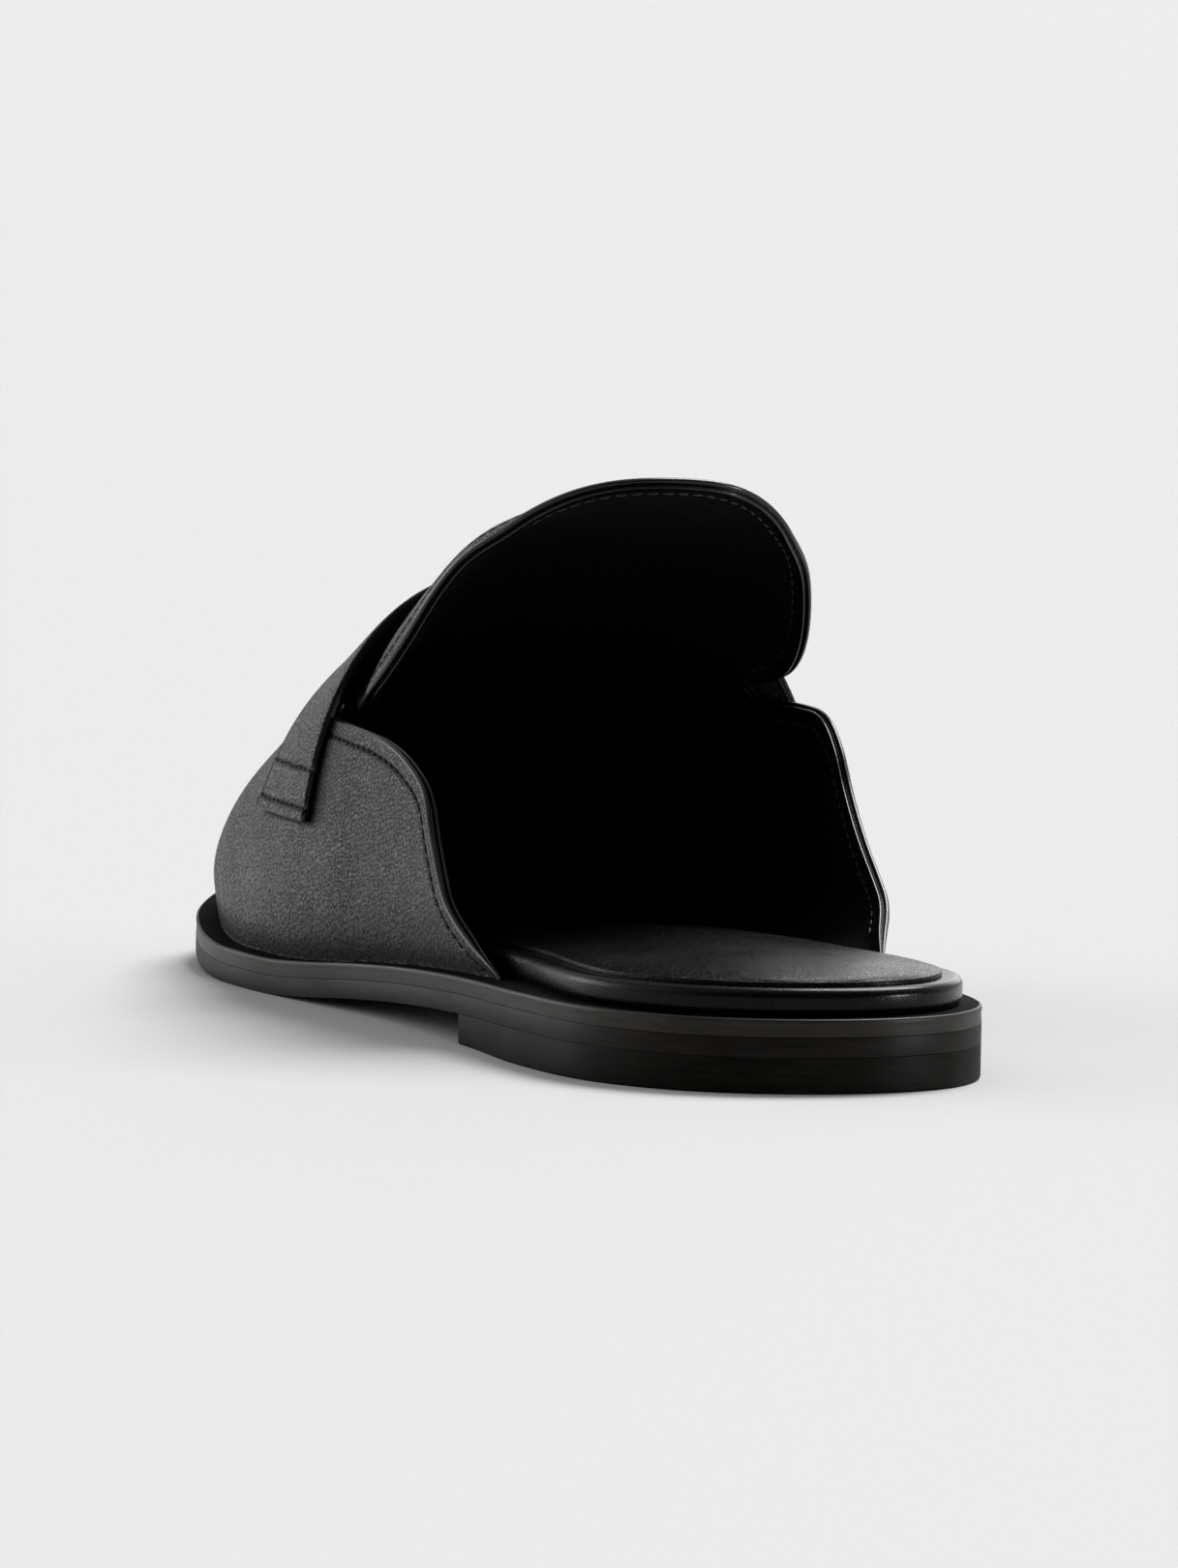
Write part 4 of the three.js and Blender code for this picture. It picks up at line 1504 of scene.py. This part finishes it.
@dataclass
class Tongue:
    """Rounded leaf that starts under the vamp and rises behind the strap."""

    shop: Workshop
    sizes: Sizes = SIZES
    rings: int = 44
    spokes: int = 260
    edge_reach: float = 1.0
    round: float = 60.0
    outer_spread: float = 1.9
    inner_spread: float = 1.2
    outer_tuck: float = 1.0
    inner_tuck: float = 1.15
    lobe_steps: int = 240
    side_steps: int = 60
    front_steps: int = 40
    crowding: float = 1.6
    border_steps: int = 700
    border_reach: float = 20.0
    stitch_margin: float = 2.0
    seam: Seam = Seam(depth=0.25, width=0.5)
    skin_swells: Unevenness = Unevenness(0.08, 30.0, 21, (3.0, 12.0))
    stitch_row: StitchRow = StitchRow(thickness=0.42, sunk=0.12)

    def outline(self) -> Points:
        """Closed outline as y and signed half width, round from the front on the outer side."""
        s, r = self.sizes, self.edge_reach
        half = s.ball_width / 2 - s.tongue_margin - r
        angle = np.linspace(0, math.pi / 2, self.lobe_steps)
        lobe = s.tongue_apex + r + (1 - np.cos(angle)) * (self.round - r)
        straight = np.linspace(s.tongue_apex + self.round, s.tongue_front, self.side_steps)
        y = np.concatenate([lobe, straight[1:]])
        front = half - s.tongue_taper
        edges = []
        for spread, tuck in ((self.outer_spread, self.outer_tuck), (self.inner_spread, self.inner_tuck)):
            bulge = (half + spread) * np.sin(angle * tuck)
            edges.append(np.concatenate([bulge, np.linspace(bulge[-1], front, self.side_steps)[1:]]))
        across = np.linspace(front, -front, self.front_steps)[1:-1]
        outer = np.stack([y[::-1], -edges[0][::-1]], 1)
        inner = np.stack([y[1:], edges[1][1:]], 1)
        closing = np.stack([np.full(len(across), s.tongue_front), across], 1)
        return np.vstack([outer, inner, closing, outer[:1]])

    def skin(self) -> tuple[Points, Points, Points]:
        """Rings of points on the last, their normals, and their stations.

        Returns:
            Points and normals, rings by spokes by 3, and the y of each.
        """
        outline = even_line(self.outline(), self.spokes + 1)
        outline[-1] = outline[0]
        y, x = outline[:, 0], outline[:, 1]
        arc = np.zeros_like(y)
        for side in Side:
            on = np.sign(x) == side.value
            turn = LAST.turn_at_width(y[on], side, np.abs(x[on]))
            arc[on] = side.value * (1 - LAST.share_of(y[on], side, turn))
        edge = np.stack([y, arc], 1)
        middle = np.array([self.sizes.tongue_apex + self.sizes.tongue_round, 0.0])
        steps = np.linspace(0, 1, self.rings + 1)
        inward = (np.expm1(self.crowding * steps) / math.expm1(self.crowding))[:, None, None]
        domain = mix(edge[None], middle, inward)
        points = self._at(domain)
        small_y, small_arc = np.array([0.05, 0.0]), np.array([0.0, 0.0005])
        along = self._at(domain + small_y) - self._at(domain - small_y)
        across = self._at(domain + small_arc) - self._at(domain - small_arc)
        return points, unit(np.cross(across, along)), domain[..., 0]

    @staticmethod
    def _at(domain: Points) -> Points:
        """Points of the last at y and the signed share down from the crown."""
        y, arc = domain[..., 0], domain[..., 1]
        outer = LAST.at(y, Side.OUTER, 1 - np.abs(arc))
        inner = LAST.at(y, Side.INNER, 1 - np.abs(arc))
        return np.where((arc < 0)[..., None], outer, inner)

    def build(self) -> None:
        """Makes the leaf with its folded edge, its lining and its seams."""
        s = self.sizes
        skin, normals, y = self.skin()
        dive = s.upper_wall + s.lining_gap - s.tongue_sink
        depth = s.tongue_sink + dive * ease(s.strap_back - s.tongue_dive, s.strap_back, y)
        top = skin - normals * depth[..., None]
        away = edge_frames(top[0], top[2], normals[0], closed=True)
        border = even_line(top[0], self.border_steps)
        distance = distance_to_line(top, border, self.border_reach)
        from_seam = distance - self.stitch_margin
        relief = self.skin_swells.on(top, distance) + self.seam.groove(from_seam)
        outside = top + normals * relief[..., None]
        pulled = self.seam.lining_groove(from_seam) - s.tongue_thickness
        lining = top + normals * pulled[..., None]
        rim = Rim().bend(outside[0], lining[0], away, self.edge_reach)
        shell = Shell()
        # Painted shade in the groove of the seam round the edge.
        shell.grid(outside, shade=self.seam.painted_shading(from_seam))
        shell.grid(lining, 1, turned=True)
        Rim().close(shell, rim, 0, 2)
        self.shop.piece("tongue_leaf", shell, ["upper", "lining", "fold"], "tongue")
        self.sew(top, normals, distance)

    def sew(self, top: Points, normals: Points, distance: Points) -> None:
        """Stitches round the leaf's edge, on its face and on its lining."""
        row = self.stitch_row
        seen = np.flatnonzero(top[0, :-1, 1] <= self.sizes.strap_back)
        line, lift = sewing_line(top, normals, distance, self.stitch_margin, seen)
        out = line - lift * row.sunk
        inside = line - lift * (self.sizes.tongue_thickness - row.lining_sunk)
        self.shop.stitches("tongue_stitches", [out], "thread", "tongue", row)
        self.shop.stitches("tongue_lining_stitches", [inside], "thread_with_painted_highlight", "tongue", row)


@dataclass
class Strap:
    """Saddle strap: a band over the upper and the tongue, its two ends turned under and sewn."""

    shop: Workshop
    sizes: Sizes = SIZES
    rows: int = 34
    columns: int = 230
    edge_reach: float = 0.4
    end_crowding: float = 0.42
    seams: Span = (1.9, 8.4)
    seam: Seam = Seam(depth=0.32, width=0.42)
    skin_swells: Unevenness = Unevenness(0.06, 22.0, 33)
    border_reach: float = 20.0
    # Painted shade along the strap's front border.
    front_shade: float = 0.8
    front_shade_band: Span = (2.6, 1.1)
    lip: tuple[float, float, float] = (0.9, 0.30, 0.75)
    lip_swells: Unevenness = Unevenness(0.3, 5.0, 40)
    crown: float = 0.12
    crown_run: float = 1.2
    bedded: float = 0.1
    unsewn_rows: int = 3
    stitch_row: StitchRow = StitchRow(pitch=2.9, length=2.2, sunk=0.08)

    def _grid(self) -> Points:
        """Points of the last under the strap, rows from its rear edge and columns from the outer end."""
        s, r = self.sizes, self.edge_reach
        share = np.linspace(-1, 1, self.columns + 1)
        share = share * (1 + self.end_crowding * (1 - share ** 2))
        steps = ease(0, 1, np.linspace(0, 1, self.rows + 1))
        front = s.strap_front + s.strap_flare * share ** 2 - r
        y = mix(s.strap_back + r, front[None], steps[:, None])
        columns = []
        for k, place in enumerate(share):
            side = Side.OUTER if place < 0 else Side.INNER
            start = LAST.share_of(y[:, k], side, LAST.turn_at_height(y[:, k], s.strap_end_height + r))
            columns.append(LAST.at(y[:, k], side, 1 - abs(place) * (1 - start)))
        return np.stack(columns, 1)

    def build(self) -> None:
        """Makes the band and its seams."""
        s = self.sizes
        skin = self._grid()
        normals = grid_normals(skin)
        lift = s.seam_gap + s.strap_thickness
        top = skin + normals * lift
        ends = [distance_to_line(top, top[:, c], self.border_reach) for c in (0, -1)]
        from_end = np.minimum(*ends)
        edges = [distance_to_line(top, top[r], self.border_reach) for r in (0, -1)]
        from_edge = np.minimum(*edges)
        relief = self.skin_swells.on(top)
        # Painted shade along the front border and in the seams across the ends.
        shade = self.front_shade * ease(*self.front_shade_band, edges[1])
        for seam in self.seams:
            relief += self.seam.groove(from_end - seam)
            shade = np.maximum(shade, self.seam.painted_shading(from_end - seam))
        lip, swell, width = self.lip
        relief += swell * bump_at(from_end - lip, width) * (1 + self.lip_swells.on(top))
        relief += self.crown * (1 - bump_at(from_edge, self.crown_run))
        outside = top + normals * relief[..., None]
        under = skin + normals * (s.seam_gap - self.bedded)
        border = self._border(outside)
        away = edge_frames(border, self._border_inner(outside), self._border(normals), closed=True)
        rim = CutEdge().bend(border, self._border(under), away, self.edge_reach)
        shell = Shell()
        shell.grid(outside, shade=shade)
        shell.grid(under, 0, turned=True)
        CutEdge().close(shell, rim, 0, 1)
        self.shop.piece("saddle_strap", shell, ["strap", "fold"], "strap")
        self.sew(top, normals, ends)

    @staticmethod
    def _border(grid: Points) -> Points:
        """All round the grid, once, the last point repeating the first."""
        sides = [grid[0], grid[1:, -1], grid[-1, -2::-1], grid[-2::-1, 0]]
        return np.vstack(sides)

    @staticmethod
    def _border_inner(grid: Points) -> Points:
        """The points next to the border, in step with it."""
        sides = [grid[1].copy(), grid[1:, -2].copy(), grid[-2, -2::-1].copy(), grid[-2::-1, 1].copy()]
        sides[0][0], sides[0][-1] = grid[1, 1], grid[1, -2]
        sides[1][-1], sides[2][-1] = grid[-2, -2], grid[-2, 1]
        sides[3][-1] = grid[1, 1]
        return np.vstack(sides)

    def sew(self, top: Points, normals: Points, ends: list[Points]) -> None:
        """Two rows of stitches across each end."""
        lines = []
        for distance in ends:
            for seam in self.seams:
                line = []
                for row in range(self.unsewn_rows, top.shape[0] - self.unsewn_rows):
                    column = int(np.argmin(np.abs(distance[row] - seam)))
                    line.append(top[row, column] - normals[row, column] * self.stitch_row.sunk)
                lines.append(np.array(line))
        self.shop.stitches("strap_stitches", lines, "thread", "strap", self.stitch_row)


@dataclass(frozen=True)
class SoftLight:
    """Soft light from far away.

    It has the direction it comes from, its power on each square metre that faces it, and how wide it
    looks, in degrees.
    """

    name: str
    source: Direction
    strength: float
    spread: float

    def build(self) -> None:
        """Hangs the light."""
        data = bpy.data.lights.new(self.name, "SUN")
        data.energy = self.strength
        data.angle = math.radians(self.spread)
        made = bpy.data.objects.new(self.name, data)
        made.rotation_euler = Vector(self.source).to_track_quat("Z", "Y").to_euler()
        bpy.context.scene.collection.objects.link(made)


@dataclass(frozen=True)
class Studio:
    """Camera, floor and lights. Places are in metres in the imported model's frame, angles in degrees."""

    camera_at: Direction = (-0.5428, -1.8917, 0.1798)
    heading: float = 15.9961
    dip: float = 4.1192
    roll: float = 1.1259
    lens: float = 272.68
    sensor: float = 36.0
    seen: Span = (0.05, 400.0)
    floor_size: float = 120.0
    floor_colour: Colour = (0.635, 0.635, 0.635)
    floor_roughness: float = 0.9
    floor_specular: float = 0.1
    sky_dark: float = 0.06
    sky_bright: float = 0.50
    sky_fade: Span = (-0.5, 0.45)
    sky_towards: Direction = (-0.20, 0.85, 0.45)
    lights: tuple[SoftLight, ...] = (
        SoftLight("overhead", (0.55, 0.50, 1.0), 3.2, 30.0),
        SoftLight("side", (-1.0, 0.25, 0.55), 0.10, 34.0),
        SoftLight("edge", (1.0, -0.45, 0.07), 1.0, 6.0),
        SoftLight("behind", (0.45, 0.88, 0.25), 0.22, 24.0),
        SoftLight("backdrop", (-0.66, 0.75, 0.08), 1.0, 40.0),
    )

    def build(self) -> None:
        """Sets up the studio."""
        self._camera()
        self._floor()
        self._sky()
        for light in self.lights:
            light.build()

    def _camera(self) -> None:
        """Camera at the photograph's angle."""
        a, e, r = (math.radians(v) for v in (self.heading, self.dip, self.roll))
        forward = Vector((math.sin(a) * math.cos(e), math.cos(a) * math.cos(e), -math.sin(e)))
        right = Vector((math.cos(a), -math.sin(a), 0.0))
        up = right.cross(forward)
        right, up = right * math.cos(r) + up * math.sin(r), up * math.cos(r) - right * math.sin(r)
        data = bpy.data.cameras.new("camera")
        data.lens, data.sensor_width, data.sensor_fit = self.lens, self.sensor, "AUTO"
        data.clip_start, data.clip_end = self.seen
        made = bpy.data.objects.new("camera", data)
        turn = Matrix((right, up, -forward)).transposed()
        made.matrix_world = Matrix.Translation(self.camera_at) @ turn.to_4x4()
        bpy.context.scene.collection.objects.link(made)
        bpy.context.scene.camera = made

    def _floor(self) -> None:
        """Plain pale floor."""
        h = self.floor_size / 2
        mesh = bpy.data.meshes.new("floor")
        mesh.from_pydata([(-h, -h, 0), (h, -h, 0), (h, h, 0), (-h, h, 0)], [], [(0, 1, 2, 3)])
        floor = bpy.data.objects.new("floor", mesh)
        material = bpy.data.materials.new("floor_paper")
        material.use_nodes = True
        shader = material.node_tree.nodes["Principled BSDF"]
        shader.inputs["Base Color"].default_value = (*self.floor_colour, 1.0)
        shader.inputs["Roughness"].default_value = self.floor_roughness
        shader.inputs["Specular IOR Level"].default_value = self.floor_specular
        mesh.materials.append(material)
        bpy.context.scene.collection.objects.link(floor)

    def _sky(self) -> None:
        """Pale surroundings, brighter behind the shoe."""
        world = bpy.data.worlds.new("surroundings")
        world.use_nodes = True
        nodes = Nodes(world.node_tree)
        light = world.node_tree.nodes["Background"]
        way = nodes.add("ShaderNodeTexCoord").outputs["Generated"]
        towards = tuple(Vector(self.sky_towards).normalized())
        facing = nodes.add("ShaderNodeVectorMath", {0: way, 1: towards}, operation="DOT_PRODUCT")
        strength = nodes.ramp(facing.outputs["Value"], *self.sky_fade, self.sky_dark, self.sky_bright)
        nodes.tree.links.new(strength, light.inputs["Strength"])
        light.inputs["Color"].default_value = (1.0, 1.0, 1.0, 1.0)
        bpy.context.scene.world = world
        bpy.context.scene.view_settings.view_transform = "Standard"


def main() -> None:
    """Builds the studio and the shoe, piece by piece."""
    logging.basicConfig(level=logging.INFO, format="%(name)s: %(message)s")
    Studio().build()
    shop = Workshop()
    Sole(shop).build()
    Upper(shop).build()
    Tongue(shop).build()
    Strap(shop).build()


if __name__ == "__main__":
    main()
